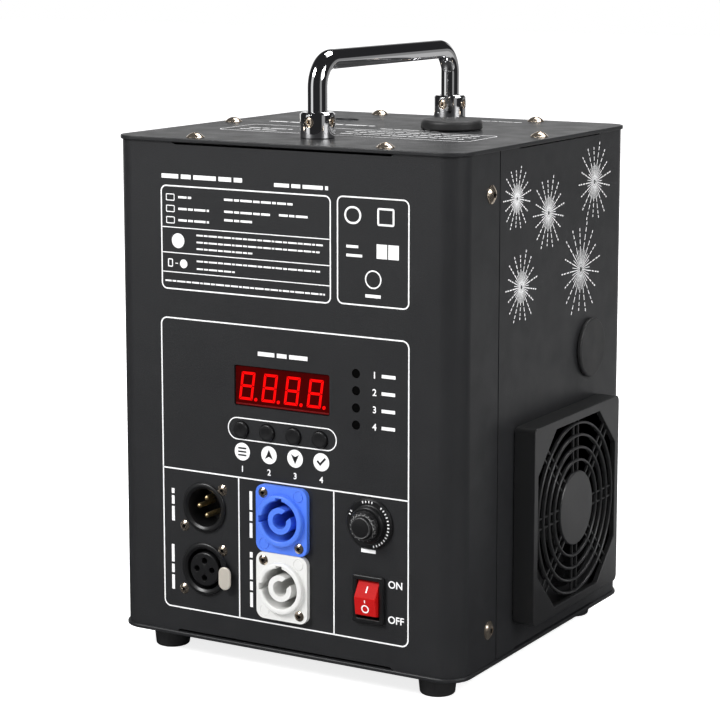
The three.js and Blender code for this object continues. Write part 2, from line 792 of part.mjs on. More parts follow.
// The bar's centre line: up one leg, round a bend, along the top, round the other bend and down.
class HandlePath extends THREE.Curve {
  constructor() {
    super();
    this.height = topZ + HANDLE_RISE - BAR_RADIUS;
    this.leg = this.height - HANDLE_BEND - topZ;
    this.bend = (HANDLE_BEND * Math.PI) / 2;
    this.span = handleBackY - handleFrontY - 2 * HANDLE_BEND;
    this.whole = 2 * (this.leg + this.bend) + this.span;
  }

  getPoint(share, target = new THREE.Vector3()) {
    const along = share * this.whole;
    const middle = (handleFrontY + handleBackY) / 2;
    const way = Math.min(along, this.whole - along);
    const side = along < this.whole / 2 ? -1 : 1;
    const reach = (handleBackY - handleFrontY) / 2;
    if (way < this.leg) return target.set(0, middle + side * reach, topZ + way);
    const turn = Math.min((way - this.leg) / HANDLE_BEND, Math.PI / 2);
    const past = Math.max(way - this.leg - this.bend, 0);
    const out = reach - HANDLE_BEND + HANDLE_BEND * Math.cos(turn) - past;
    return target.set(0, middle + side * out, this.height - HANDLE_BEND * (1 - Math.sin(turn)));
  }
}

function handleBar() {
  const section = new THREE.Shape();
  section.absarc(0, 0, BAR_RADIUS, 0, Math.PI * 2);
  return new THREE.ExtrudeGeometry(section, {
    steps: HANDLE_STEPS,
    curveSegments: BAR_STEPS,
    extrudePath: new HandlePath(),
  });
}

function collar(y) {
  const profile = [
    [BAR_RADIUS + EASE, topZ],
    [COLLAR_RADIUS, topZ],
    [COLLAR_RADIUS, topZ + COLLAR_HEIGHT - COLLAR_CHAMFER],
    [COLLAR_RADIUS - COLLAR_CHAMFER, topZ + COLLAR_HEIGHT],
    [BAR_RADIUS + EASE, topZ + COLLAR_HEIGHT],
    [BAR_RADIUS + EASE, topZ],
  ];
  const reach = COLLAR_RADIUS + OVERRUN;
  const place = [0, y, topZ + SET_SCREW_RISE];
  return cut(
    turned("z", profile, [0, y, 0]),
    rod("y", SET_SCREW_RADIUS, -reach, 0, place, SMALL_SIDES),
    rod("x", SET_SCREW_RADIUS, 0, reach, place, SMALL_SIDES),
  );
}

// Filler plug and hopper

function fillerPlug() {
  const low = topZ + EASE;
  const high = low + FILLER_PLUG_RISE;
  const stem = NECK_BORE - EASE;
  const sagitta = FILLER_PLUG_ROUND * (1 - Math.SQRT1_2);
  const profile = [
    [0, topZ - FILLER_STEM],
    [stem, topZ - FILLER_STEM],
    [stem, low],
    [FILLER_PLUG_RADIUS - FILLER_PLUG_ROUND / 2, low],
    [FILLER_PLUG_RADIUS, low + FILLER_PLUG_ROUND],
    [FILLER_PLUG_RADIUS, high - FILLER_PLUG_ROUND],
    [FILLER_PLUG_RADIUS - sagitta, high - sagitta],
    [FILLER_PLUG_RADIUS - FILLER_PLUG_ROUND, high],
    [0, high],
  ];
  return turned("z", profile, [FILLER_X, FILLER_Y, 0], LARGE_SIDES);
}

// The hopper's outline, drawn once for its outside and once, set in by its wall, for its inside.
function hopperProfile(inset, foot, rim) {
  return [
    [0, foot],
    [FEED_BORE - inset, foot],
    [FEED_BORE - inset, hopperFootZ],
    [HOPPER_RADIUS - inset, hopperFootZ + HOPPER_CONE],
    [HOPPER_RADIUS - inset, rim],
    [0, rim],
  ];
}

// The hopper and the feed tube are drawn in the feed group: its origin is the hopper's axis,
// and +X points at the spark chamber.
function hopper() {
  const rim = hopperLidZ - EASE;
  return cut(
    turned("z", hopperProfile(0, hopperFootZ - HOPPER_SPOUT, rim)),
    turned("z", hopperProfile(HOPPER_WALL, hopperFootZ - HOPPER_SPOUT - OVERRUN, rim + OVERRUN)),
  );
}

// A flat lid whose neck reaches up through the top plate.
function hopperLid() {
  return cut(
    join(
      rod("z", HOPPER_RADIUS, hopperLidZ, hopperLidZ + HOPPER_WALL),
      rod("z", NECK_BORE + HOPPER_WALL, hopperLidZ, topZ),
    ),
    rod("z", NECK_BORE, hopperLidZ - OVERRUN, topZ + OVERRUN),
  );
}

// The feed tube with the upright socket that the hopper's spout stands in.
function feedTube() {
  const tubeEnd = feedLength - CHAMBER_RADIUS - EASE;
  const axis = [0, 0, feedZ];
  const socketFoot = hopperFootZ - HOPPER_SPOUT - EASE;
  return cut(
    join(
      rod("z", FEED_BORE + EASE + HOPPER_WALL, feedZ, hopperFootZ - EASE),
      rod("x", FEED_TUBE_RADIUS, -FEED_TUBE_BEHIND, tubeEnd, axis),
    ),
    rod("z", FEED_BORE - HOPPER_WALL, feedZ, hopperFootZ),
    rod("z", FEED_BORE + EASE, socketFoot, hopperFootZ),
    rod("x", FEED_BORE, -FEED_TUBE_BEHIND - OVERRUN, tubeEnd + OVERRUN, axis),
  );
}

// Feed auger and its drive

// A screw blade round the X axis: four points at each step, joined to the next four.
function augerBlade(start, end) {
  const steps = Math.round(((end - start) / AUGER_PITCH) * AUGER_STEPS_PER_TURN);
  const inner = AUGER_SHAFT_RADIUS / 2;
  const points = [];
  const faces = [];
  for (let i = 0; i <= steps; i++) {
    const along = start + ((end - start) * i) / steps;
    const turn = (2 * Math.PI * (along - start)) / AUGER_PITCH;
    for (const [radius, x] of [
      [inner, along],
      [AUGER_RADIUS, along],
      [AUGER_RADIUS, along + AUGER_BLADE],
      [inner, along + AUGER_BLADE],
    ])
      points.push(x, radius * Math.cos(turn), radius * Math.sin(turn));
  }
  for (let i = 0; i < steps; i++)
    for (let k = 0; k < 4; k++) {
      const a = 4 * i + k;
      const b = 4 * i + ((k + 1) % 4);
      faces.push(a, b + 4, b, a, a + 4, b + 4);
    }
  const last = 4 * steps;
  faces.push(0, 1, 2, 0, 2, 3);
  faces.push(last, last + 2, last + 1, last, last + 3, last + 2);
  const geometry = new THREE.BufferGeometry();
  geometry.setAttribute("position", new THREE.Float32BufferAttribute(points, 3));
  geometry.setIndex(faces);
  return geometry;
}

const gearX = -FEED_TUBE_BEHIND - EASE - BRACKET_SHEET - GEAR_GAP - GEAR_WIDTH;

function feedAuger() {
  const end = feedLength - CHAMBER_RADIUS - AUGER_BLADE - OVERRUN;
  const start = -FEED_TUBE_BEHIND + BUSH_LENGTH + OVERRUN;
  return join(
    rod("x", AUGER_SHAFT_RADIUS, gearX + GEAR_WIDTH / 2, end + OVERRUN, [0, 0, 0], SMALL_SIDES),
    augerBlade(start, end),
  );
}

// A spur gear in the plane across X, with one tooth on +Y before it is turned.
function gear(teeth, bore) {
  const pitch = (GEAR_MODULE * teeth) / 2;
  const tip = pitch + GEAR_MODULE * TOOTH_HEAD_SHARE;
  const root = pitch - GEAR_MODULE * TOOTH_FOOT_SHARE;
  const step = (2 * Math.PI) / teeth;
  const points = [];
  for (let i = 0; i < teeth; i++) {
    const middle = i * step;
    for (const [radius, share] of [
      [root, -TOOTH_ROOT_WIDTH_SHARE],
      [tip, -TOOTH_TIP_WIDTH_SHARE],
      [tip, TOOTH_TIP_WIDTH_SHARE],
      [root, TOOTH_ROOT_WIDTH_SHARE],
    ]) {
      const turn = middle + (share * step) / 2;
      points.push([radius * Math.cos(turn), radius * Math.sin(turn)]);
    }
  }
  const wheel = slab("side", polygon(points), 0, GEAR_WIDTH);
  return bore > 0 ? cut(wheel, rod("x", bore, -OVERRUN, GEAR_WIDTH + OVERRUN)) : wheel;
}

function motorPinion() {
  const halfTooth = Math.PI / PINION_TEETH;
  const reach = GEAR_WIDTH + GEAR_GAP + BRACKET_SHEET + PINION_SHAFT_REACH;
  const shaft = rod("x", PINION_SHAFT_RADIUS, OVERRUN, reach, [0, 0, 0], SMALL_SIDES);
  return join(gear(PINION_TEETH, 0).rotateX(halfTooth), shaft);
}

const motorX = -FEED_TUBE_BEHIND - EASE;

function feedMotor() {
  const profile = [
    [0, motorX],
    [MOTOR_RADIUS, motorX],
    [MOTOR_RADIUS, motorX + GEARBOX_LENGTH],
    [MOTOR_RADIUS - MOTOR_STEP, motorX + GEARBOX_LENGTH],
    [MOTOR_RADIUS - MOTOR_STEP, motorX + MOTOR_LENGTH],
    [0, motorX + MOTOR_LENGTH],
  ];
  const bore = PINION_SHAFT_RADIUS + EASE;
  const axis = [0, 0, motorZ];
  return cut(
    turned("x", profile, axis),
    rod("x", bore, motorX - OVERRUN, motorX + PINION_SHAFT_REACH + OVERRUN, axis, SMALL_SIDES),
  );
}

function motorBracket() {
  const low = motorX - BRACKET_SHEET;
  const upright = block(
    [low, -BRACKET_HALF, shelfTopZ],
    [motorX, BRACKET_HALF, feedZ + BRACKET_ABOVE_AXIS],
  );
  const footing = block(
    [low, -BRACKET_HALF, shelfTopZ],
    [low + BRACKET_FOOT, BRACKET_HALF, shelfTopZ + BRACKET_SHEET],
  );
  const reach = [low - OVERRUN, motorX + OVERRUN];
  return cut(
    join(upright, footing),
    rod("x", AUGER_SHAFT_RADIUS + EASE, ...reach, [0, 0, feedZ], SMALL_SIDES),
    rod("x", PINION_SHAFT_RADIUS + 2 * EASE, ...reach, [0, 0, motorZ], SMALL_SIDES),
  );
}

function augerBush() {
  const inner = AUGER_SHAFT_RADIUS + EASE;
  const low = -FEED_TUBE_BEHIND;
  return sleeve("x", FEED_BORE - EASE, inner, low, low + BUSH_LENGTH, [0, 0, feedZ]);
}

// Spark chamber

const nozzlePlace = [NOZZLE_X, NOZZLE_Y, 0];
const chamberTopZ = topZ - NOZZLE_STEM - NOZZLE_FLANGE;
const chamberZ = feedZ - FEED_TUBE_RADIUS - CHAMBER_FLANGE;

function nozzle() {
  const profile = [
    [NOZZLE_BORE, chamberTopZ],
    [NOZZLE_FLANGE_RADIUS, chamberTopZ],
    [NOZZLE_FLANGE_RADIUS, chamberTopZ + NOZZLE_FLANGE],
    [NOZZLE_RADIUS, chamberTopZ + NOZZLE_FLANGE],
    [NOZZLE_RADIUS, topZ - NOZZLE_RECESS],
    [NOZZLE_BORE, topZ - NOZZLE_RECESS],
    [NOZZLE_BORE, chamberTopZ],
  ];
  return turned("z", profile, nozzlePlace);
}

// Drawn in the feed group, because the feed tube meets it along X.
function sparkChamber() {
  const centre = [feedLength, 0, 0];
  const profile = [
    [NOZZLE_BORE, chamberZ],
    [CHAMBER_FLANGE_RADIUS, chamberZ],
    [CHAMBER_FLANGE_RADIUS, chamberZ + CHAMBER_FLANGE - EASE],
    [CHAMBER_RADIUS, chamberZ + CHAMBER_FLANGE - EASE],
    [CHAMBER_RADIUS, chamberTopZ - EASE],
    [NOZZLE_BORE, chamberTopZ - EASE],
    [NOZZLE_BORE, chamberZ],
  ];
  const portStart = feedLength - CHAMBER_RADIUS - OVERRUN;
  const port = rod("x", FEED_BORE - HOPPER_WALL, portStart, feedLength, [0, 0, feedZ]);
  return cut(turned("z", profile, centre), port);
}

function heaterJacket() {
  const low = feedZ + FEED_TUBE_RADIUS + JACKET_CLEARANCE;
  const high = chamberTopZ - JACKET_CLEARANCE;
  return sleeve("z", JACKET_RADIUS, CHAMBER_RADIUS + EASE, low, high, nozzlePlace);
}

function airDuct() {
  const high = chamberZ - EASE;
  const profile = [
    [DUCT_RADIUS - DUCT_WALL, shelfTopZ],
    [DUCT_FLANGE_RADIUS, shelfTopZ],
    [DUCT_FLANGE_RADIUS, shelfTopZ + DUCT_FLANGE],
    [DUCT_RADIUS, shelfTopZ + DUCT_FLANGE],
    [DUCT_RADIUS, high - DUCT_FLANGE],
    [CHAMBER_FLANGE_RADIUS, high - DUCT_FLANGE],
    [CHAMBER_FLANGE_RADIUS, high],
    [DUCT_RADIUS - DUCT_WALL, high],
    [DUCT_RADIUS - DUCT_WALL, shelfTopZ],
  ];
  return turned("z", profile, nozzlePlace);
}

function chassisShelf() {
  const left = -innerX + EASE;
  const back = backY - WALL - EASE;
  const width = SHELF_RIGHT_X - left;
  const depth = back - SHELF_FRONT_Y;
  const outline = roundedOutline(left + width / 2, back - depth / 2, width, depth, CASE_CORNER);
  const lipZ = shelfZ - SHELF_LIP;
  const lipEnd = back - CASE_CORNER;
  return cut(
    join(
      slab("up", outline, shelfZ, shelfTopZ),
      block([left, SHELF_FRONT_Y + CASE_CORNER, lipZ], [left + SHELF_SHEET, lipEnd, shelfTopZ]),
      block([left + CASE_CORNER, back - SHELF_SHEET, lipZ], [SHELF_RIGHT_X - CASE_CORNER, back, shelfTopZ]),
    ),
    rod("z", DUCT_RADIUS - DUCT_WALL, shelfZ - OVERRUN, shelfTopZ + OVERRUN, nozzlePlace),
  );
}

// Blower, with its shaft along Y

const blowerCentre = [blowerX, 0, blowerZ];
const blowerFrontY = NOZZLE_Y - BLOWER_DEPTH / 2;
const blowerBackY = NOZZLE_Y + BLOWER_DEPTH / 2;

function blowerSpace(inset, top) {
  const low = blowerFrontY + inset;
  const high = blowerBackY - inset;
  const half = BLOWER_OUTLET_HALF + BLOWER_WALL - inset;
  return join(
    rod("y", BLOWER_RADIUS - inset, low, high, blowerCentre, LARGE_SIDES),
    block([NOZZLE_X - half, low, blowerZ], [NOZZLE_X + half, high, top]),
  );
}

function blowerHousing() {
  const top = shelfZ - EASE;
  const footing = block(
    [blowerX - BLOWER_FOOT_HALF, blowerFrontY, floorZ],
    [blowerX + BLOWER_FOOT_HALF, blowerBackY, blowerZ - BLOWER_RADIUS + BLOWER_WALL],
  );
  const outerShape = join(blowerSpace(0, top), footing);
  const shell = cut(
    outerShape,
    blowerSpace(BLOWER_WALL, top + OVERRUN),
    rod("y", BLOWER_INLET_RADIUS, blowerFrontY - OVERRUN, NOZZLE_Y, blowerCentre),
  );
  const wallY = blowerBackY - BLOWER_WALL / 2;
  return join(
    shell,
    rod("y", BLOWER_BOSS_RADIUS, blowerBackY - 2 * BLOWER_WALL, wallY, blowerCentre, SMALL_SIDES),
    rod("y", BLOWER_PIN_RADIUS, NOZZLE_Y, wallY, blowerCentre, SMALL_SIDES),
  );
}

// Drawn round the origin, with its disc at the back, and placed on the blower's pin.
function blowerImpeller() {
  const back = blowerBackY - 2 * BLOWER_WALL - OVERRUN;
  const front = blowerFrontY + BLOWER_WALL + OVERRUN;
  const blade = () =>
    block(
      [IMPELLER_RADIUS - IMPELLER_BLADE_REACH, front, -IMPELLER_BLADE / 2],
      [IMPELLER_RADIUS, back, IMPELLER_BLADE / 2],
    );
  const hubFront = NOZZLE_Y - BLOWER_BOSS_RADIUS;
  const wheel = join(
    rod("y", IMPELLER_RADIUS, back - IMPELLER_DISC, back),
    rod("y", IMPELLER_HUB_RADIUS, hubFront, back),
    ...around(IMPELLER_BLADES, new THREE.Vector3(0, 1, 0), blade),
  );
  const bore = BLOWER_PIN_RADIUS + EASE;
  return cut(wheel, rod("y", bore, NOZZLE_Y - EASE, back + OVERRUN, [0, 0, 0], SMALL_SIDES));
}

// Cooling fan, with its shaft along X

const fanX = innerX - EASE - FAN_DEPTH; // inner face of the fan's frame
const fanAxis = [0, FAN_Y, fanZ];

function fanFrame() {
  const outline = roundedOutline(FAN_Y, fanZ, FAN_SIZE, FAN_SIZE, FAN_CORNER);
  const duct = cut(
    slab("side", outline, fanX, fanX + FAN_DEPTH),
    rod("x", fanBore, fanX - OVERRUN, fanX + FAN_DEPTH + OVERRUN, fanAxis, LARGE_SIDES),
  );
  const strut = () =>
    block([fanX, 0, -FAN_STRUT / 2], [fanX + FAN_BASE, fanBore + OVERRUN, FAN_STRUT / 2]);
  const struts = around(FAN_STRUTS, new THREE.Vector3(1, 0, 0), strut).map((piece) =>
    piece.translate(...fanAxis),
  );
  const base = rod("x", FAN_HUB_RADIUS, fanX, fanX + FAN_BASE, fanAxis);
  const socketEnd = fanX + FAN_BASE + OVERRUN;
  const socket = rod("x", FAN_PIN_RADIUS + EASE, fanX - OVERRUN, socketEnd, fanAxis, SMALL_SIDES);
  return cut(join(duct, ...struts, base), socket);
}

function fanRotor() {
  const low = fanX + FAN_BASE + ROTOR_CLEARANCE;
  const high = fanX + FAN_DEPTH - ROTOR_CLEARANCE;
  const bladeReach = fanBore - ROTOR_CLEARANCE;
  const blade = () => {
    const start = FAN_HUB_RADIUS - OVERRUN;
    const shape = block(
      [-FAN_BLADE_CHORD / 2, start, -FAN_BLADE / 2],
      [FAN_BLADE_CHORD / 2, bladeReach, FAN_BLADE / 2],
    );
    return shape.rotateY(THREE.MathUtils.degToRad(FAN_BLADE_TILT)).translate((low + high) / 2, 0, 0);
  };
  return join(
    rod("x", FAN_HUB_RADIUS, low, high),
    rod("x", FAN_PIN_RADIUS, fanX, low + OVERRUN, [0, 0, 0], SMALL_SIDES),
    ...around(FAN_BLADES, new THREE.Vector3(1, 0, 0), blade),
  );
}

function octagon(centreY, centreZ, half) {
  const straight = half * COVER_OPENING_CUT_SHARE;
  const corners = [
    [half, -straight],
    [half, straight],
    [straight, half],
    [-straight, half],
    [-half, straight],
    [-half, -straight],
    [-straight, -half],
    [straight, -half],
  ];
  return polygon(corners.map(([y, z]) => [centreY + y, centreZ + z]));
}

function fanCover() {
  const wallX = rightX + EASE;
  const faceX = rightX + COVER_DEPTH;
  const outline = roundedOutline(FAN_Y, fanZ, coverSize, coverSize, COVER_CORNER);
  const hollowSize = coverSize - 2 * COVER_WALL;
  const hollow = roundedOutline(FAN_Y, fanZ, hollowSize, hollowSize, COVER_CORNER);
  const tray = cut(
    slab("side", outline, wallX, faceX),
    slab("side", hollow, wallX - OVERRUN, faceX - COVER_FACE),
    slab("side", octagon(FAN_Y, fanZ, coverOpening), wallX, faceX + OVERRUN),
  );
  const grilleHigh = faceX - GRILLE_RECESS;
  const grilleLow = grilleHigh - GRILLE_DEPTH;
  const ringStep = (coverOpening - FAN_HUB_RADIUS) / GRILLE_RINGS;
  const rings = Array.from({ length: GRILLE_RINGS }, (_, i) => {
    const middle = FAN_HUB_RADIUS + (i + 1) * ringStep - GRILLE_BAR / 2;
    const half = GRILLE_BAR / 2;
    return sleeve("x", middle + half, middle - half, grilleLow, grilleHigh, fanAxis);
  });
  const bar = (side) => () =>
    block(
      [grilleLow, FAN_HUB_RADIUS - OVERRUN, (side * SPOKE_SPREAD - GRILLE_BAR / 2) / 2],
      [grilleHigh, coverOpening, (side * SPOKE_SPREAD + GRILLE_BAR / 2) / 2],
    );
  const axis = new THREE.Vector3(1, 0, 0);
  const spokes = [-1, 1].flatMap((side) => around(GRILLE_SPOKES, axis, bar(side)));
  const reach = coverOpening + OVERRUN;
  const posts = around(GRILLE_SPOKES / 2, axis, () =>
    block([grilleLow, coverOpening - GRILLE_BAR, -SPOKE_SPREAD], [grilleHigh, reach, SPOKE_SPREAD]),
  );
  return join(
    tray,
    rod("x", FAN_HUB_RADIUS, grilleLow, grilleHigh, fanAxis, LARGE_SIDES),
    ...rings,
    ...[...spokes, ...posts].map((piece) => piece.translate(...fanAxis)),
  );
}

// The square ring screwed to the wall, over which the cover snaps.
function fanGuard() {
  const size = coverSize - 2 * COVER_WALL - 2 * EASE;
  const outline = roundedOutline(FAN_Y, fanZ, size, size, COVER_CORNER);
  return cut(
    slab("side", outline, rightX, rightX + GUARD_DEPTH),
    rod("x", fanBore, rightX - OVERRUN, rightX + GUARD_DEPTH + OVERRUN, fanAxis, LARGE_SIDES),
  );
}

function sidePlug() {
  const low = rightX + EASE;
  const profile = [
    [0, innerX - SIDE_PLUG_STEM],
    [SIDE_PLUG_STEM_RADIUS, innerX - SIDE_PLUG_STEM],
    [SIDE_PLUG_STEM_RADIUS, low],
    [SIDE_PLUG_RADIUS, low],
    [SIDE_PLUG_RADIUS, low + SIDE_PLUG_FACE / 2],
    [SIDE_PLUG_RADIUS - SIDE_PLUG_FACE / 2, low + SIDE_PLUG_FACE],
    [0, low + SIDE_PLUG_FACE],
  ];
  return turned("x", profile, [0, SIDE_PLUG_Y, baseZ + SIDE_PLUG_RISE], LARGE_SIDES);
}

// Control panel

function displayWindow() {
  const z = baseZ + WINDOW_RISE;
  const lens = roundedOutline(WINDOW_X, z, WINDOW_WIDTH, WINDOW_HEIGHT, WINDOW_CORNER);
  const lip = roundedOutline(
    WINDOW_X,
    z,
    WINDOW_WIDTH + 2 * WINDOW_LIP,
    WINDOW_HEIGHT + 2 * WINDOW_LIP,
    WINDOW_CORNER,
  );
  return join(
    slab("front", lens, frontY, frontY + WINDOW_DEPTH),
    slab("front", lip, panelY + EASE, frontY + WINDOW_DEPTH),
  );
}

const boardY = frontY + BOARD_SETBACK;

function button(i) {
  const low = frontY - BUTTON_PROUD;
  const collarY = panelY + EASE;
  const profile = [
    [0, low],
    [BUTTON_RADIUS - BUTTON_ROUND, low],
    [BUTTON_RADIUS, low + BUTTON_ROUND],
    [BUTTON_RADIUS, collarY],
    [BUTTON_COLLAR, collarY],
    [BUTTON_COLLAR, collarY + BUTTON_COLLAR_DEPTH],
    [BUTTON_STEM, collarY + BUTTON_COLLAR_DEPTH],
    [BUTTON_STEM, boardY - TACT_SWITCH_DEPTH - BUTTON_TRAVEL - EASE / 2],
    [0, boardY - TACT_SWITCH_DEPTH - BUTTON_TRAVEL - EASE / 2],
  ];
  return turned("y", profile, [buttonX(i), 0, baseZ + BUTTON_RISE], SMALL_SIDES);
}

// The board with all that is soldered on it: display, indicators, button switches and its four posts.
function controlBoard() {
  const low = baseZ + BOARD_LOW_RISE;
  const high = baseZ + BOARD_HIGH_RISE;
  const solder = boardY + BOARD_SHEET / 2;
  const sheet = block([BOARD_LEFT_X, boardY, low], [BOARD_RIGHT_X, boardY + BOARD_SHEET, high]);
  const display = block(
    [
      WINDOW_X - WINDOW_WIDTH / 2 + WINDOW_CORNER,
      frontY + WINDOW_DEPTH + EASE,
      baseZ + WINDOW_RISE - WINDOW_HEIGHT / 2 + WINDOW_CORNER,
    ],
    [
      WINDOW_X + WINDOW_WIDTH / 2 - WINDOW_CORNER,
      solder,
      baseZ + WINDOW_RISE + WINDOW_HEIGHT / 2 - WINDOW_CORNER,
    ],
  );
  const lights = Array.from({ length: BUTTON_COUNT }, (_, i) =>
    rod("y", LIGHT_RADIUS - EASE, frontY + LIGHT_RECESS, solder, [LIGHT_X, 0, lightZ(i)], SMALL_SIDES),
  );
  const half = TACT_SWITCH / 2;
  const z = baseZ + BUTTON_RISE;
  const switches = Array.from({ length: BUTTON_COUNT }, (_, i) =>
    block(
      [buttonX(i) - half, boardY - TACT_SWITCH_DEPTH, z - half],
      [buttonX(i) + half, solder, z + half],
    ),
  );
  const posts = [BOARD_LEFT_X + BOARD_POST_INSET, BOARD_RIGHT_X - BOARD_POST_INSET / 2].flatMap((x) =>
    [low + BOARD_POST_INSET, high - BOARD_POST_INSET].map((postZ) =>
      rod("y", BOARD_POST_RADIUS, panelY, solder, [x, 0, postZ], SMALL_SIDES),
    ),
  );
  return join(sheet, display, ...lights, ...switches, ...posts);
}

// Data sockets

function dataShell(rise, bore) {
  const centre = [DATA_X, 0, baseZ + rise];
  const flange = roundedOutline(
    DATA_X,
    baseZ + rise,
    DATA_FLANGE_WIDTH,
    DATA_FLANGE_HEIGHT,
    WINDOW_LIP,
  );
  const bodyEnd = frontY + DATA_BARREL_DEPTH;
  const body = join(
    rod("y", DATA_RING_RADIUS, frontY - DATA_RING_PROUD, frontY, centre),
    rod("y", DATA_BARREL_RADIUS, frontY - DATA_RING_PROUD / 2, bodyEnd, centre),
    slab("front", flange, panelY, panelY + DATA_FLANGE),
  );
  const hollow = rod("y", bore, frontY - DATA_RING_PROUD - OVERRUN, frontY + DATA_BORE_DEPTH, centre);
  return cut(body, hollow);
}

function dataOutShell() {
  const slotEnd = panelY + DATA_FLANGE + OVERRUN;
  const slot = rod("y", TAB_STEM_HOLE, panelY - OVERRUN, slotEnd, tabPlace(), SMALL_SIDES);
  return cut(dataShell(DATA_OUT_RISE, DATA_OUT_BORE), slot);
}

// Three pins on the disc at the bottom of the inlet.
function dataPins() {
  const rise = baseZ + DATA_IN_RISE;
  const bottom = frontY + DATA_BORE_DEPTH - EASE;
  const disc = rod("y", DATA_IN_BORE - EASE, bottom - PIN_RADIUS, bottom, [DATA_X, 0, rise]);
  const pins = [0, 1, 2].map((i) => {
    const turn = Math.PI / 2 + (i * Math.PI) / 2;
    const place = [DATA_X + PIN_CIRCLE * Math.cos(turn), 0, rise + PIN_CIRCLE * Math.sin(turn)];
    return rod("y", PIN_RADIUS, bottom - PIN_LENGTH, bottom - PIN_RADIUS / 2, place, SMALL_SIDES);
  });
  return join(disc, ...pins);
}

function dataInsert() {
  const rise = baseZ + DATA_OUT_RISE;
  const low = frontY - DATA_RING_PROUD + INSERT_RECESS;
  const core = rod("y", INSERT_RADIUS, low, frontY + DATA_BORE_DEPTH - EASE, [DATA_X, 0, rise]);
  const holes = [0, 1, 2, 3].map((i) => {
    const turn = (i * Math.PI) / 2;
    const place = [DATA_X + PIN_CIRCLE * Math.cos(turn), 0, rise + PIN_CIRCLE * Math.sin(turn)];
    return rod("y", SOCKET_HOLE_RADIUS, low - OVERRUN, low + SOCKET_HOLE_DEPTH, place, SMALL_SIDES);
  });
  return cut(core, ...holes);
}

function releaseTab() {
  const [x, , z] = tabPlace();
  const outline = roundedOutline(x, z, TAB_WIDTH, TAB_HEIGHT, TAB_WIDTH / 2 - EASE);
  const front = frontY - TAB_PROUD;
  return join(
    slab("front", outline, front, front + TAB_SHEET),
    rod("y", TAB_STEM_RADIUS, front + TAB_SHEET / 2, frontY + TAB_STEM, [x, 0, z], SMALL_SIDES),
  );
}

// Power sockets

function powerSocket(rise) {
  const z = baseZ + rise;
  const centre = [POWER_X, 0, z];
  const outline = roundedOutline(POWER_X, z, POWER_FLANGE_WIDTH, POWER_FLANGE_HEIGHT, POWER_FLANGE_CORNER);
  const ringFront = frontY - POWER_FLANGE - POWER_RING_PROUD;
  const bottom = frontY + POWER_BORE_DEPTH;
  const body = join(
    slab("front", outline, frontY - POWER_FLANGE, frontY),
    rod("y", POWER_RING_RADIUS, ringFront, frontY - POWER_FLANGE / 2, centre),
    rod("y", POWER_BARREL_RADIUS, frontY - POWER_FLANGE / 2, frontY + POWER_BARREL_DEPTH, centre),
  );
  const hollow = sleeve("y", POWER_BORE, POWER_CORE_RADIUS, ringFront - OVERRUN, bottom, centre);
  const coreTop = rod("y", POWER_BORE, ringFront - OVERRUN, ringFront + POWER_CORE_RECESS, centre);
  const coreBore = rod("y", POWER_CORE_BORE, ringFront, bottom, centre, SMALL_SIDES);
  const coreSlot = block(
    [POWER_X, ringFront - OVERRUN, z - POWER_KEY_REACH],
    [POWER_X + POWER_CORE_RADIUS + OVERRUN / 2, bottom, z + POWER_KEY_REACH],
  );
  const half = POWER_KEY / 2;
  const reach = POWER_BORE + POWER_KEY_REACH;
  const keys = [
    block([POWER_X - half, ringFront - OVERRUN, z], [POWER_X + half, bottom - OVERRUN, z + reach]),
    block([POWER_X - reach, ringFront - OVERRUN, z - half], [POWER_X, bottom - OVERRUN, z + half]),
  ];
  const core = rod("y", POWER_CORE_RADIUS, ringFront + POWER_CORE_RECESS, bottom + OVERRUN, centre);
  const keyed = cut(body, ...keys.map((key) => cut(key, core)));
  return cut(keyed, hollow, coreTop, coreBore, coreSlot);
}

// Fuse

const fusePlace = [FUSE_X, 0, baseZ + FUSE_RISE];
const fuseCapY = frontY - FUSE_BOSS_PROUD - EASE;

function fuseHolder() {
  const end = frontY + FUSE_BARREL_DEPTH;
  const body = join(
    rod("y", FUSE_FLANGE_RADIUS, frontY - FUSE_FLANGE, frontY, fusePlace, LARGE_SIDES),
    rod("y", FUSE_BOSS_RADIUS, frontY - FUSE_BOSS_PROUD, frontY - FUSE_FLANGE / 2, fusePlace),
    rod("y", FUSE_BARREL_RADIUS, frontY - FUSE_FLANGE / 2, end, fusePlace),
  );
  return cut(body, rod("y", FUSE_BORE, frontY - FUSE_BOSS_PROUD - OVERRUN, end - WALL, fusePlace));
}

function fuseCap() {
  const stemEnd = frontY + FUSE_CAP_STEM;
  const profile = [
    [0, frontY - FUSE_CAP_PROUD],
    [FUSE_KNOB_RADIUS, frontY - FUSE_CAP_PROUD],
    [FUSE_KNOB_RADIUS, fuseCapY - FUSE_CAP_STEP],
    [FUSE_CAP_RADIUS, fuseCapY - FUSE_CAP_STEP],
    [FUSE_CAP_RADIUS, fuseCapY],
    [FUSE_CAP_STEM_RADIUS, fuseCapY],
    [FUSE_CAP_STEM_RADIUS, stemEnd],
    [FUSE_RADIUS + EASE, stemEnd],
    [FUSE_RADIUS + EASE, stemEnd - FUSE_CLIP_DEPTH],
    [0, stemEnd - FUSE_CLIP_DEPTH],
  ];
  return turned("y", profile, fusePlace);
}

function fuseLink() {
  const start = frontY + FUSE_CAP_STEM - FUSE_CLIP_DEPTH + EASE;
  return rod("y", FUSE_RADIUS, start, start + FUSE_LENGTH, fusePlace, SMALL_SIDES);
}

// Rocker switch

const pivotY = frontY + ROCKER_PIVOT_DEPTH;
const switchZ = baseZ + SWITCH_RISE;

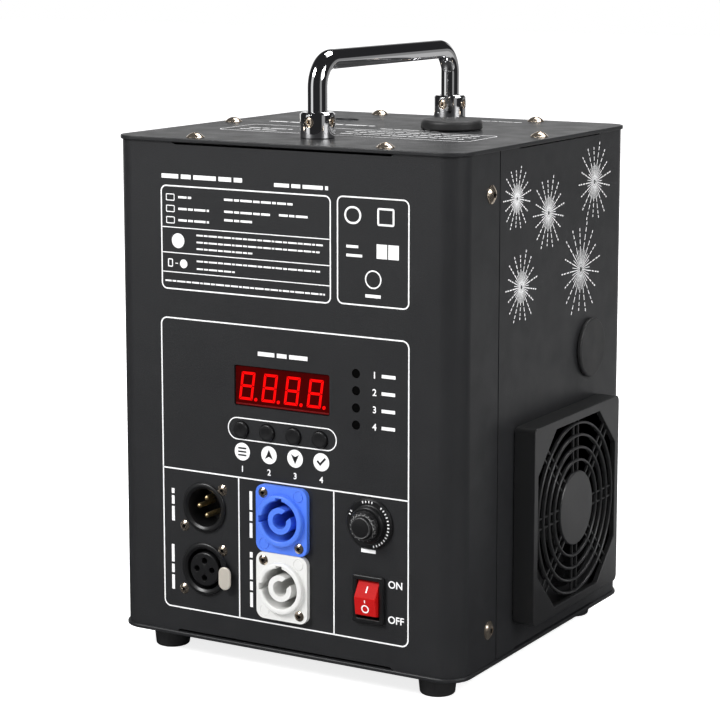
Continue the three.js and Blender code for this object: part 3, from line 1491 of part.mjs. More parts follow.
function switchHousing() {
  const bezel = roundedOutline(SWITCH_X, switchZ, BEZEL_WIDTH, BEZEL_HEIGHT, BEZEL_CORNER);
  const body = block(
    [SWITCH_X - SWITCH_BODY_WIDTH / 2, frontY - BEZEL_PROUD / 2, switchZ - SWITCH_BODY_HEIGHT / 2],
    [SWITCH_X + SWITCH_BODY_WIDTH / 2, frontY + SWITCH_BODY_DEPTH, switchZ + SWITCH_BODY_HEIGHT / 2],
  );
  const halfWidth = ROCKER_WIDTH / 2 + EASE;
  const opening = block(
    [SWITCH_X - halfWidth, frontY - BEZEL_PROUD - OVERRUN, switchZ - SWITCH_OPENING_HEIGHT / 2],
    [SWITCH_X + halfWidth, frontY + SWITCH_OPENING_DEPTH, switchZ + SWITCH_OPENING_HEIGHT / 2],
  );
  const pinReach = SWITCH_BODY_WIDTH / 2 - EASE;
  const pinHole = rod(
    "x",
    ROCKER_PIN_RADIUS + EASE,
    SWITCH_X - pinReach,
    SWITCH_X + pinReach,
    [0, pivotY, switchZ],
    SMALL_SIDES,
  );
  return cut(join(slab("front", bezel, frontY - BEZEL_PROUD, frontY), body), opening, pinHole);
}

// Drawn level round its pivot, then tilted to the position in which the upper end is pressed in.
function switchRocker() {
  const outline = polygon([
    [-ROCKER_RIDGE, 0],
    [-ROCKER_RIDGE + ROCKER_FALL, -ROCKER_HALF],
    [0, -ROCKER_HALF],
    [ROCKER_BACK, -ROCKER_BACK_HALF],
    [ROCKER_BACK, ROCKER_BACK_HALF],
    [0, ROCKER_HALF],
    [-ROCKER_RIDGE + ROCKER_FALL, ROCKER_HALF],
  ]);
  const pinReach = SWITCH_BODY_WIDTH / 2 - 2 * EASE;
  const rocker = join(
    slab("side", outline, -ROCKER_WIDTH / 2, ROCKER_WIDTH / 2),
    rod("x", ROCKER_PIN_RADIUS, -pinReach, pinReach, [0, 0, 0], SMALL_SIDES),
  );
  return rocker.rotateX(-THREE.MathUtils.degToRad(ROCKER_TILT));
}

// Power electronics on the bottom plate

function powerBoard() {
  const low = floorZ + POWER_BOARD_RISE;
  const high = low + BOARD_SHEET;
  const sheet = block(
    [powerBoardLeft, POWER_BOARD_FRONT_Y, low],
    [powerBoardRight, POWER_BOARD_BACK_Y, high],
  );
  const inset = BOARD_POST_INSET;
  const posts = [powerBoardLeft + inset, powerBoardRight - inset].flatMap((x) =>
    [POWER_BOARD_FRONT_Y + inset, POWER_BOARD_BACK_Y - inset].map((y) =>
      rod("z", BOARD_POST_RADIUS, floorZ, low + BOARD_SHEET / 2, [x, y, 0], SMALL_SIDES),
    ),
  );
  const transformer = block(
    [powerBoardLeft + 2 * inset, POWER_BOARD_FRONT_Y + 2 * inset, low + BOARD_SHEET / 2],
    [
      powerBoardLeft + 2 * inset + TRANSFORMER_WIDTH,
      POWER_BOARD_FRONT_Y + 2 * inset + TRANSFORMER_DEPTH,
      high + TRANSFORMER_HEIGHT,
    ],
  );
  const firstX = powerBoardLeft + 2 * inset + TRANSFORMER_WIDTH + 2 * CAPACITOR_RADIUS;
  const middleY = (POWER_BOARD_FRONT_Y + POWER_BOARD_BACK_Y) / 2;
  const pitch = 2 * CAPACITOR_RADIUS + inset / 2;
  const count = Math.floor((powerBoardRight - CAPACITOR_RADIUS - firstX) / pitch) + 1;
  const capacitors = Array.from({ length: count }, (_, i) => {
    const place = [firstX + i * pitch, middleY, 0];
    return rod("z", CAPACITOR_RADIUS, low + BOARD_SHEET / 2, high + CAPACITOR_HEIGHT, place, SMALL_SIDES);
  });
  return join(sheet, ...posts, transformer, ...capacitors);
}

function heatsink() {
  const front = POWER_BOARD_FRONT_Y;
  const back = POWER_BOARD_BACK_Y;
  const base = block([heatsinkX, front, floorZ], [heatsinkX + HEATSINK_WIDTH, back, floorZ + HEATSINK_BASE]);
  const step = (HEATSINK_WIDTH - HEATSINK_FIN) / (HEATSINK_FINS - 1);
  const fins = Array.from({ length: HEATSINK_FINS }, (_, i) => {
    const x = heatsinkX + i * step;
    return block([x, front, floorZ + HEATSINK_BASE / 2], [x + HEATSINK_FIN, back, floorZ + HEATSINK_HEIGHT]);
  });
  return join(base, ...fins);
}

// Assembly

add("front_shell", frontShell(), paint);
add("rear_shell", rearShell(), paint);
add("top_plate", topPlate(), paint);
add("bottom_plate", bottomPlate(), paint);
for (const [name, place] of Object.entries(footPlaces)) add(name, foot(place), rubber);
topScrews.forEach((place, i) => add("top_screw_" + (i + 1), topScrew(place), nickel));

add("handle_bar", handleBar(), chrome);
add("handle_collar_front", collar(handleFrontY), chrome);
add("handle_collar_back", collar(handleBackY), chrome);
add("filler_plug", fillerPlug(), rubber);
add("side_plug", sidePlug(), rubber);

const feed = new THREE.Group();
feed.position.set(FILLER_X, FILLER_Y, 0);
feed.rotation.z = feedTurn;
machine.add(feed);
add("hopper", hopper(), steel, feed);
add("hopper_lid", hopperLid(), steel, feed);
add("feed_tube", feedTube(), steel, feed);
add("spark_chamber", sparkChamber(), steel, feed);
add("feed_auger", feedAuger(), steel, feed).position.z = feedZ;
add("drive_gear", gear(DRIVE_TEETH, AUGER_SHAFT_RADIUS + EASE), white, feed).position.set(gearX, 0, feedZ);
add("motor_pinion", motorPinion(), steel, feed).position.set(gearX, 0, motorZ);
add("feed_motor", feedMotor(), steel, feed);
add("motor_bracket", motorBracket(), steel, feed);
add("auger_bush", augerBush(), white, feed);

add("nozzle", nozzle(), steel);
add("heater_jacket", heaterJacket(), ceramic);
add("air_duct", airDuct(), aluminium);
add("chassis_shelf", chassisShelf(), steel);
add("blower_housing", blowerHousing(), blackPlastic);
add("blower_impeller", blowerImpeller(), blackPlastic).position.set(...blowerCentre);

add("fan_frame", fanFrame(), blackPlastic);
add("fan_rotor", fanRotor(), blackPlastic).position.set(...fanAxis);
add("fan_guard", fanGuard(), blackPlastic);
add("fan_cover", fanCover(), blackPlastic);

add("display_window", displayWindow(), redLens);
add("control_board", controlBoard(), boardGreen);
for (let i = 0; i < BUTTON_COUNT; i++) add("button_" + (i + 1), button(i), blackPlastic);

add("data_in_shell", dataShell(DATA_IN_RISE, DATA_IN_BORE), blackPlastic);
add("data_in_pins", dataPins(), gold);
add("data_out_shell", dataOutShell(), blackPlastic);
add("data_out_insert", dataInsert(), blackPlastic);
add("data_out_tab", releaseTab(), nickel);
add("power_in_socket", powerSocket(POWER_IN_RISE), blue);
add("power_out_socket", powerSocket(POWER_OUT_RISE), white);
add("fuse_holder", fuseHolder(), blackPlastic);
add("fuse_cap", fuseCap(), blackPlastic);
add("fuse_link", fuseLink(), glass);
add("switch_housing", switchHousing(), blackPlastic);
add("switch_rocker", switchRocker(), red).position.set(SWITCH_X, pivotY, switchZ);
add("power_board", powerBoard(), boardGreen);
add("heatsink", heatsink(), aluminium);

// The origin is under the middle of the whole machine, its fan cover and fuse cap included.
const part = new THREE.Group();
part.add(machine);
machine.position.x = (OVERHANG - COVER_DEPTH) / 2;
machine.position.y = (FUSE_CAP_PROUD - OVERHANG) / 2;

export default part;
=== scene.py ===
# A cold spark machine: the finishes, fine shapes and printed marks over its construction.
import itertools
import json
from math import asin, atan2, cos, degrees, pi, radians, sin, sqrt

import bmesh
import bpy
from mathutils import Matrix, Vector


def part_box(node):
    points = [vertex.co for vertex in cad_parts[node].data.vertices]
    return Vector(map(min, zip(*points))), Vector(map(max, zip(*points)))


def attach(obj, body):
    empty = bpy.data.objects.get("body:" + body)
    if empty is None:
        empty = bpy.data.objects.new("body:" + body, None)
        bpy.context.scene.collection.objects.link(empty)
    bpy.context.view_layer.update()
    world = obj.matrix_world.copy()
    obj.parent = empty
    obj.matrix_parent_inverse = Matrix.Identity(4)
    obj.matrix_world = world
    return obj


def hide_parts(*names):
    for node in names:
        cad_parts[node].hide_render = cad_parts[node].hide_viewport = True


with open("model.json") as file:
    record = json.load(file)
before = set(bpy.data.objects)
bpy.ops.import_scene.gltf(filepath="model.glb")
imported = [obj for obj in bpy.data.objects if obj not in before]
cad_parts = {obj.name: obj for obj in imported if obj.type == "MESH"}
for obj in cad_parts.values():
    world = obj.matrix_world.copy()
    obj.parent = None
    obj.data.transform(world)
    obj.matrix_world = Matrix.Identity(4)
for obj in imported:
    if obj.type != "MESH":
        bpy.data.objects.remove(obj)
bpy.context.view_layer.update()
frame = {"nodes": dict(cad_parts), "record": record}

# Places are in millimetres: x and y from the middle of the case, z above the bottom plate's underside.

MM = 0.001
CASE_WIDTH = 180
CASE_DEPTH = 172
CASE_HEIGHT = 232
CASE_CORNER = 10.5
WALL = 1.2
PLATE = 1.8
OVERHANG = 1
EASE = 0.3

middle_x, middle_y = [(low + high) / 2 for low, high in zip(*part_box("top_plate"))][:2]
ORIGIN = (middle_x, middle_y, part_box("bottom_plate")[0][2])
TO_METRES = Matrix.Translation(ORIGIN) @ Matrix.Scale(MM, 4)
FRONT = -CASE_DEPTH / 2
RIGHT = CASE_WIDTH / 2
TOP = CASE_HEIGHT

# Each facing turns a shape drawn flat, with its height towards the viewer, to face that way.
FACINGS = {
    "up": ((1, 0, 0), (0, 1, 0), (0, 0, 1)),
    "front": ((1, 0, 0), (0, 0, 1), (0, -1, 0)),
    "back": ((-1, 0, 0), (0, 0, 1), (0, 1, 0)),
    "right": ((0, 1, 0), (0, 0, 1), (1, 0, 0)),
    "left": ((0, -1, 0), (0, 0, 1), (-1, 0, 0)),
}

# Camera, light and ground

CAMERA_PLACE = Vector((0.53395, -0.93153, 0.33452))
CAMERA_AZIMUTH = 30.375
CAMERA_ELEVATION = 8.823
LENS = 114.9
SENSOR = 36
SHIFT_Y = -0.1


def linked(name, data):
    made = bpy.data.objects.new(name, data)
    bpy.context.collection.objects.link(made)
    return made


def set_camera():
    data = bpy.data.cameras.new("camera")
    data.lens = LENS
    data.sensor_width = SENSOR
    data.shift_y = SHIFT_Y
    data.clip_start = 0.01
    data.clip_end = 100
    camera = linked("camera", data)
    camera.location = CAMERA_PLACE
    camera.rotation_euler = (radians(90 - CAMERA_ELEVATION), 0, radians(CAMERA_AZIMUTH))
    bpy.context.scene.camera = camera
    bpy.context.scene.view_settings.view_transform = "Standard"


# Name, place, the height each lamp is aimed at, width, length and watts
LAMPS = (
    ("key_lamp", (-0.9, -1.6, 1.7), 0.12, 0.9, 0.9, 47),
    ("side_lamp", (1.7, -0.15, 1.0), 0.12, 0.8, 0.8, 15),
    ("top_lamp", (0.1, 0.9, 1.9), 0.2, 1.2, 0.8, 20),
)


def set_lamps():
    for name, place, aim, width, length, watts in LAMPS:
        data = bpy.data.lights.new(name, "AREA")
        data.shape = "RECTANGLE"
        data.size = width
        data.size_y = length
        data.energy = watts
        lamp = linked(name, data)
        lamp.location = place
        way = Vector((0, 0, aim)) - Vector(place)
        lamp.rotation_euler = way.to_track_quat("-Z", "Y").to_euler()


class Nodes:
    """A short way to build the node tree of a material or the world."""

    def __init__(self, owner):
        owner.use_nodes = True
        self.tree = owner.node_tree
        self.tree.nodes.clear()

    def add(self, kind, inputs=None, **settings):
        node = self.tree.nodes.new(kind)
        for key, value in settings.items():
            setattr(node, key, value)
        for key, value in (inputs or {}).items():
            if isinstance(value, bpy.types.NodeSocket):
                self.tree.links.new(value, node.inputs[key])
            else:
                node.inputs[key].default_value = value
        return node

    def math(self, operation, first, second):
        return self.add("ShaderNodeMath", {0: first, 1: second}, operation=operation).outputs[0]

    def vector(self, operation, *values):
        return self.add("ShaderNodeVectorMath", dict(enumerate(values)), operation=operation)

    def mix(self, share, first, second):
        return self.add("ShaderNodeMixShader", {0: share, 1: first, 2: second}).outputs[0]


WHITE_LIGHT = (1, 1, 1, 1)
AMBIENT = (0.5, 0.5, 0.508, 1)
ROOM = (0.02, 0.02, 0.0215, 1)
NEAR_FLOOR = (0.1, 0.22)  # metres from the object between which its reflection begins
FAR_FLOOR = (1.1, 1.5)
FLOOR_REACH = 6
FLOOR_GLOW = 0.8

# What shines in reflections: middle angle, half width, strength, its share on the near floor, and the
# heights between which it ends. First the white background and its foot, then two soft lights.
GLOWS = (
    (121, 39, 1.0, 0, (0.45, 0.1)),
    (66, 21, 0.22, 2.1, (0.04, 0)),
    (-123.5, 12.5, 0.8, 0, (0.85, 0.65)),
    (-21, 10, 0.3, 0, (0.6, 0.4)),
)
GLOW_SOFTNESS = 3


def ray_is(nodes, *kinds):
    """1 for rays of any of these kinds."""
    path = nodes.add("ShaderNodeLightPath")
    share = path.outputs[f"Is {kinds[0]} Ray"]
    for kind in kinds[1:]:
        share = nodes.math("MAXIMUM", share, path.outputs[f"Is {kind} Ray"])
    return share


def ramp(nodes, value, ends):
    """Rises smoothly from 0 to 1 between the two ends."""
    inputs = {"Value": value, "From Min": ends[0], "From Max": ends[1]}
    return nodes.add("ShaderNodeMapRange", inputs, interpolation_type="SMOOTHSTEP").outputs[0]


def glow_share(nodes, way, fade):
    """How much of the surroundings' white is met along a way from the object, dimmed by its fade."""
    flat = nodes.vector("MULTIPLY", way, (1, 1, 0)).outputs[0]
    level = nodes.vector("NORMALIZE", flat).outputs[0]
    total = None
    for angle, half, strength, near, rise in GLOWS:
        middle = (cos(radians(angle)), sin(radians(angle)), 0)
        turn = nodes.vector("DOT_PRODUCT", level, middle)
        ends = [cos(radians(half + soft)) for soft in (GLOW_SOFTNESS, -GLOW_SOFTNESS)]
        share = nodes.math("MULTIPLY", ramp(nodes, turn.outputs["Value"], ends), strength)
        share = nodes.math("MULTIPLY", share, fade(near, rise))
        total = nodes.math("MAXIMUM", share, total) if total else share
    return total


def sorted_rays(nodes, share, room, white, seen, light):
    """Rays that see meet one shader, rays that light another, mirrored ones the room and its white."""
    mirrored = nodes.mix(share, room, white)
    direct = nodes.mix(ray_is(nodes, "Camera", "Transmission"), mirrored, seen)
    return nodes.mix(ray_is(nodes, "Camera", "Glossy", "Transmission"), light, direct)


def set_world():
    world = bpy.data.worlds.new("world")
    nodes = Nodes(world)
    plain, room, white = [
        nodes.add("ShaderNodeBackground", {"Color": colour}).outputs[0]
        for colour in (AMBIENT, ROOM, WHITE_LIGHT)
    ]
    way = nodes.add("ShaderNodeTexCoord").outputs["Generated"]
    height = nodes.add("ShaderNodeSeparateXYZ", {0: way}).outputs[2]
    share = glow_share(nodes, way, lambda near, rise: ramp(nodes, height, rise))
    whole = sorted_rays(nodes, share, room, white, white, plain)
    nodes.add("ShaderNodeOutputWorld", {"Surface": whole})
    bpy.context.scene.world = world


def set_floor():
    """A white floor that keeps a faint shadow; in reflections it is dark near the object."""
    mesh = bpy.data.meshes.new("floor")
    reach = FLOOR_REACH
    corners = [(x, y, 0) for x, y in rectangle(-reach, reach, -reach, reach)]
    mesh.from_pydata(corners, [], [(0, 1, 2, 3)])
    floor = linked("floor", mesh)
    material = bpy.data.materials.new("floor")
    nodes = Nodes(material)
    matt = nodes.add("ShaderNodeBsdfDiffuse", {"Color": (0.8, 0.8, 0.8, 1)}).outputs[0]
    room, white, glow = [
        nodes.add("ShaderNodeEmission", {"Color": colour, "Strength": strength}).outputs[0]
        for colour, strength in ((ROOM, 1), (WHITE_LIGHT, 1), (WHITE_LIGHT, FLOOR_GLOW))
    ]
    lit = nodes.add("ShaderNodeAddShader", {0: matt, 1: glow}).outputs[0]
    way = nodes.add("ShaderNodeTexCoord").outputs["Object"]
    distance = nodes.vector("LENGTH", way).outputs["Value"]
    begin = ramp(nodes, distance, NEAR_FLOOR)
    far = ramp(nodes, distance, FAR_FLOOR)

    def floor_share(near, rise):
        inputs = {"Value": far, "To Min": near, "To Max": 1}
        level = nodes.add("ShaderNodeMapRange", inputs).outputs[0]
        return nodes.math("MULTIPLY", level, begin)

    share = glow_share(nodes, way, floor_share)
    whole = sorted_rays(nodes, share, room, white, lit, matt)
    nodes.add("ShaderNodeOutputMaterial", {"Surface": whole})
    mesh.materials.append(material)


# Finishes. The noise is in the part's own space, so it doesn't slide or stretch.

MICRON = 1e-6
DRIFT_SCALE = 35
GLOSS_SCALE = 90
SLOTS = {}  # the record's material slot that each finish stands for


def noise(nodes, place, scale, detail):
    inputs = {"Vector": place, "Scale": scale, "Detail": detail}
    return nodes.add("ShaderNodeTexNoise", inputs).outputs["Fac"]


def finish(name, slot, colour, roughness, metal, grain, drift, specular=0.5, **sockets):
    """One material: a colour that drifts by a share, with uneven gloss and a fine grain.

    grain is (size, depth) of its bump in micrometres.
    """
    material = bpy.data.materials.new(name)
    nodes = Nodes(material)
    place = nodes.add("ShaderNodeTexCoord").outputs["Object"]
    inputs = {"Base Color": (*colour, 1), "Roughness": roughness, "Metallic": metal}
    inputs["Specular IOR Level"] = specular
    inputs.update({key.replace("_", " "): value for key, value in sockets.items()})
    if drift:
        mixing = {"Factor": noise(nodes, place, DRIFT_SCALE, 3)}
        for key, share in (("A", 1 - drift), ("B", 1 + drift)):
            mixing[key] = (*[value * share for value in colour], 1)
        inputs["Base Color"] = nodes.add("ShaderNodeMix", mixing, data_type="RGBA").outputs["Result"]
        spread = {"Value": noise(nodes, place, GLOSS_SCALE, 4), "From Min": 0.3, "From Max": 0.7}
        spread.update({"To Min": roughness * (1 - drift), "To Max": roughness * (1 + drift)})
        inputs["Roughness"] = nodes.add("ShaderNodeMapRange", spread).outputs["Result"]
    if grain:
        size, depth = [value * MICRON for value in grain]
        bump = {"Height": noise(nodes, place, 1 / size, 2), "Distance": depth, "Strength": 0.5}
        inputs["Normal"] = nodes.add("ShaderNodeBump", bump).outputs["Normal"]
    shader = nodes.add("ShaderNodeBsdfPrincipled", inputs)
    nodes.add("ShaderNodeOutputMaterial", {"Surface": shader.outputs[0]})
    if slot:
        SLOTS[material] = slot
    return material


# Name, slot, colour, roughness, metal, grain, drift and level of gloss
PAINT = finish("powder_coat", "case_paint", (0.019, 0.0194, 0.0207), 0.4, 0, (600, 120), 0.12, 0.42)
RUBBER = finish("rubber", "rubber", (0.024, 0.024, 0.0246), 0.6, 0, (500, 100), 0.15, 0.25)
PLUG = finish("plug_rubber", "rubber", (0.025, 0.025, 0.0255), 0.5, 0, (500, 80), 0.12)
CHROME = finish("chrome", "chrome", (0.86, 0.86, 0.87), 0.05, 1, None, 0.03)
NICKEL = finish("nickel", "nickel", (0.8, 0.68, 0.55), 0.19, 0.95, (400, 20), 0.08)
TAB = finish("tab_metal", "nickel", (0.86, 0.8, 0.7), 0.5, 0.6, (400, 40), 0.08)
STEEL = finish("bare_steel", "bare_steel", (0.52, 0.53, 0.54), 0.3, 1, (800, 30), 0.08)
finish("aluminium", "aluminium", (0.66, 0.67, 0.68), 0.34, 1, (800, 30), 0.06)
finish("ceramic_fibre", "ceramic", (0.7, 0.67, 0.6), 0.85, 0, (1200, 300), 0.1)
finish("nylon", "nylon", (0.78, 0.78, 0.74), 0.45, 0, (1000, 30), 0.03)
BLACK = finish("black_plastic", "black_plastic", (0.009, 0.009, 0.0096), 0.36, 0, (400, 50), 0.1)
COVER = finish("cover_plastic", "black_plastic", (0.017, 0.0172, 0.0178), 0.33, 0, (500, 80), 0.1, 0.65)
GOLD = finish("gold_plate", "gold", (0.95, 0.74, 0.4), 0.4, 1, None, 0.05)
BLUE = finish("blue_plastic", "blue_plastic", (0.073, 0.195, 0.8), 0.34, 0, (800, 30), 0.04)
WHITE = finish("white_plastic", "white_plastic", (0.74, 0.74, 0.72), 0.32, 0, (800, 30), 0.03)
RED = finish("red_plastic", "red_plastic", (0.47, 0.006, 0.006), 0.5, 0, None, 0.05, 0.09)
# A near-black without gloss: painted shade in the screw holes, and in the unlit lights their own dark
# with painted shade.
SHADE_BLACK = finish("black_with_painted_shade", "black_plastic", (0.0012, 0.0012, 0.0012), 0.9, 0, None, None, 0.05)
LENS_RED = finish("red_lens", "red_lens", (0.05, 0.0005, 0.0005), 0.12, 0, None, 0.04, 0.12)
# A brighter red for a strip at the window's lower edge: painted highlight.
LENS_HIGHLIGHT_RED = finish("lens_painted_highlight", "red_lens", (0.14, 0.001, 0.001), 0.4, 0, None, 0.04, 0.2)
finish("circuit_board", "board", (0.016, 0.1, 0.042), 0.42, 0, (1500, 50), 0.1)
finish("fuse_tube", "fuse_glass", (0.68, 0.72, 0.73), 0.08, 0, None, 0.04)
INK = finish("white_ink", None, (0.92, 0.92, 0.92), 0.5, 0, (600, 40), 0.03)
LIGHT_RED = {"Emission_Color": (1, 0, 0, 1), "Emission_Strength": 0.95}
LIT_RED = finish("lit_red", None, (0.2, 0, 0), 0.4, 0, None, 0.03, 0.05, **LIGHT_RED)
FINISHES = {name: material for material, name in reversed(SLOTS.items())}


def paint_nodes():
    """Gives every node of the construction the finish of its material slot."""
    for row in frame["record"]["subparts"]:
        mesh = frame["nodes"][row["node"]].data
        mesh.materials.clear()
        mesh.materials.append(FINISHES[row["material_slot"]])


# Building meshes


def piece(name, shape, material, facing="up", centre=(0, 0, 0), node=None, body="case"):
    """Makes an object of a bmesh drawn in millimetres round a centre, and sets it on its body."""
    placed(moved(shape, *centre, facing=facing), TO_METRES)
    mesh = bpy.data.meshes.new(name)
    shape.to_mesh(mesh)
    shape.free()
    mesh.materials.append(material)
    made = linked(name, mesh)
    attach(made, body)
    if node:
        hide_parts(node)
    return made


def part(name, shape, material, facing="up", centre=(0, 0, 0), node=None, body="case", tools=(), edge=()):
    """A piece with tools cut out, drawn flat like its shape, and an edge of (radius, steps, angle)."""
    made = piece(name, shape, material, facing, centre, node, body)
    for tool in tools:
        cut(made, moved(tool, *centre, facing=facing))
    shaded(made, *edge)


def shaded(made, bevel=0.0, steps=3, angle=30.0):
    """Rounds the sharp edges, then shades flats flat and curves smooth."""
    if bevel:
        rounding = made.modifiers.new("rounding", "BEVEL")
        rounding.width = bevel * MM
        rounding.segments = steps
        rounding.limit_method = "ANGLE"
        rounding.angle_limit = radians(angle)
    made.data.shade_smooth()
    weighted = made.modifiers.new("normals", "WEIGHTED_NORMAL")
    weighted.keep_sharp = True
    if not bevel:
        made.data.set_sharp_from_angle(angle=radians(angle))
    settle(made)


def settle(made):
    """Applies the object's modifiers."""
    graph = bpy.context.evaluated_depsgraph_get()
    mesh = bpy.data.meshes.new_from_object(made.evaluated_get(graph), depsgraph=graph)
    old = made.data
    made.modifiers.clear()
    made.data = mesh
    bpy.data.meshes.remove(old)
    mesh.name = made.name


def cut(made, cutter):
    """Cuts a bmesh in case millimetres out of an object."""
    placed(cutter, TO_METRES)
    mesh = bpy.data.meshes.new("cutter")
    cutter.to_mesh(mesh)
    cutter.free()
    tool = linked("cutter", mesh)
    boolean = made.modifiers.new("cut", "BOOLEAN")
    boolean.operation = "DIFFERENCE"
    boolean.solver = "EXACT"
    boolean.object = tool
    bpy.context.view_layer.update()
    settle(made)
    bpy.data.objects.remove(tool)
    bpy.data.meshes.remove(mesh)


def lofted(rings, closed):
    """Faces between neighbouring rings of points, where one point is a tip; closed, or else capped."""
    shape = bmesh.new()
    rings = [[shape.verts.new(point) for point in ring] for ring in rings]
    pairs = list(zip(rings, rings[1:]))
    if closed:
        pairs.append((rings[-1], rings[0]))
    else:
        shape.faces.new(reversed(rings[0]))
        shape.faces.new(rings[-1])
    for low, high in pairs:
        count = max(len(low), len(high))
        for i in range(count if count > 1 else 0):
            j = (i + 1) % count
            corners = [low[i % len(low)], low[j % len(low)], high[j % len(high)], high[i % len(high)]]
            shape.faces.new(dict.fromkeys(corners))
    bmesh.ops.recalc_face_normals(shape, faces=shape.faces)
    return shape


def turned(profile, sides=64):
    """A closed profile of (radius, height) turned round the local Z axis."""
    rings = []
    for radius, height in profile:
        rings.append([(x, y, height) for x, y in disc(radius, sides if radius else 1)])
    return lofted(rings, True)


def prism(outline, low, high):
    """A flat outline of (x, y) raised from low to high."""
    return lofted([[(x, y, height) for x, y in outline] for height in (low, high)], False)


def placed(shape, matrix):
    bmesh.ops.transform(shape, matrix=matrix, verts=shape.verts)
    return shape


def moved(shape, x=0.0, y=0.0, z=0.0, turn=0.0, facing="up"):
    """Turns a bmesh by degrees round its Z axis, then to its facing, and moves it."""
    way = Matrix(FACINGS[facing]).transposed().to_4x4()
    return placed(shape, Matrix.Translation((x, y, z)) @ way @ Matrix.Rotation(radians(turn), 4, "Z"))


def joined(*shapes):
    """Several bmeshes in one."""
    whole = bmesh.new()
    for shape in shapes:
        mesh = bpy.data.meshes.new("part")
        shape.to_mesh(mesh)
        shape.free()
        whole.from_mesh(mesh)
        bpy.data.meshes.remove(mesh)
    return whole


def arc(x, y, radius, start, end, steps):
    """Points on an arc, from one angle in degrees to another."""
    angles = [radians(start + (end - start) * i / steps) for i in range(steps + 1)]
    return [(x + radius * cos(a), y + radius * sin(a)) for a in angles]


def disc(radius, sides=48, x=0.0, y=0.0):
    return arc(x, y, radius, 0, 360, sides)[:-1]


def rounded(width, height, radius, steps=8, x=0.0, y=0.0):
    """A rectangle with round corners."""
    right = width / 2 - radius
    top = height / 2 - radius
    points = []
    for i, (side, end) in enumerate(((1, 1), (-1, 1), (-1, -1), (1, -1))):
        points += arc(x + side * right, y + end * top, radius, 90 * i, 90 * i + 90, steps)
    return points


def rectangle(low_x, high_x, low_y, high_y):
    return [(low_x, low_y), (high_x, low_y), (high_x, high_y), (low_x, high_y)]


# Case

CASE_LOW = PLATE
CASE_HIGH = CASE_HEIGHT - PLATE
SEAM_Y = FRONT + 36
SEAM_GAP = 0.8
TONGUE = 15
FLANGE = 13
NOTCH_SLOPE = 2
# A wall's notches: facing, half length, its middle along the wall, the wall's x and y, depth
FRONT_NOTCHES = ("front", 56, 0, 0, FRONT, 1.1)
REAR_NOTCHES = (
    ("back", 56, 0, 0, -FRONT, 1.1),
    ("right", 41, 11, RIGHT, 0, 0.6),
    ("left", 41, -11, -RIGHT, 0, 0.6),
)
SHEET_EDGE = (0.35,)

FAN_PLACE = (RIGHT, 11.6, 59.5)
FAN_BORE = 38
SIDE_PLUG = (RIGHT, 45, 129.2)
SIDE_PLUG_STEM = 10.7
VENT_COUNT = 7
VENT_PITCH = 8
VENT_Z = 52
VENT_SIZE = (46, 3)
VENT_LEFT_Y = 38


def folded_outline(end_y):
    """A sheet folded round the two rear corners, seen from above; both its ends lie at end_y."""
    side = RIGHT - CASE_CORNER
    back = CASE_DEPTH / 2 - CASE_CORNER
    inside = RIGHT - WALL
    outer = arc(side, back, CASE_CORNER, 0, 90, 14) + arc(-side, back, CASE_CORNER, 90, 180, 14)
    inner = arc(-side, back, CASE_CORNER - WALL, 180, 90, 14)
    inner += arc(side, back, CASE_CORNER - WALL, 90, 0, 14)
    return [(RIGHT, end_y), *outer, (-RIGHT, end_y), (-inside, end_y), *inner, (inside, end_y)]


def notches(facing, half, centre, x, y, deep):
    """The shallow steps that folds leave in the lower and upper edge of a wall."""
    wide = half + NOTCH_SLOPE
    cutters = []
    for edge, way in ((CASE_LOW, -1), (CASE_HIGH, 1)):
        step = edge - way * deep
        points = [(-wide, edge + way), (-wide, edge), (-half, step)]
        points += [(-along, z) for along, z in reversed(points)]
        points = [(centre + along, z) for along, z in points]
        cutters.append(wall_hole(points, facing, x, y))
    return cutters


def folds(facing, half, centre, x, y, deep):
    """The two flanges folded in behind a wall's notches."""
    flanges = []
    for edge, way in ((CASE_LOW, 1), (CASE_HIGH, -1)):
        ends = sorted((edge + way * deep, edge + way * (deep + WALL)))
        outline = rectangle(centre - half, centre + half, *ends)
        flanges.append(moved(prism(outline, -FLANGE, -EASE), x, y, facing=facing))
    return flanges


def wall_hole(outline, facing, x, y, z=0.0):
    return moved(prism(outline, -2 * WALL, WALL), x, y, z, facing=facing)


def front_shell():
    outline = [(x, -y) for x, y in folded_outline(-SEAM_Y)]
    holes = [
        (rounded(WINDOW[0] + 2 * EASE, WINDOW[1] + 2 * EASE, 1), *WINDOW_PLACE),
        (rounded(14.6, 20.2, 1), *SWITCH_PLACE),
        *[(disc(BUTTON_RADIUS + EASE), x, BUTTON_Z) for x in BUTTON_XS],
        *[(disc(LIGHT_RADIUS, 32), LIGHT_X, z) for z in LIGHT_ZS],
        *[(disc(DATA_BARREL + EASE), DATA_X, z) for z in (DATA_IN_Z, DATA_OUT_Z)],
        *[(disc(POWER_BARREL + EASE), POWER_X, z) for z in (POWER_IN_Z, POWER_OUT_Z)],
        (disc(FUSE_BARREL + EASE), *FUSE_PLACE),
        (disc(1.3, 16), DATA_X + TAB_PLACE[0], DATA_OUT_Z + TAB_PLACE[1]),
    ]
    node = "front_shell"
    tools = notches(*FRONT_NOTCHES) + [wall_hole(shape, "front", x, FRONT, z) for shape, x, z in holes]
    sheet = prism(outline, CASE_LOW, CASE_HIGH)
    part("front_shell_panel", sheet, PAINT, node=node, tools=tools, edge=SHEET_EDGE)
    part("front_shell_flanges", joined(*folds(*FRONT_NOTCHES)), PAINT, node=node, edge=SHEET_EDGE)


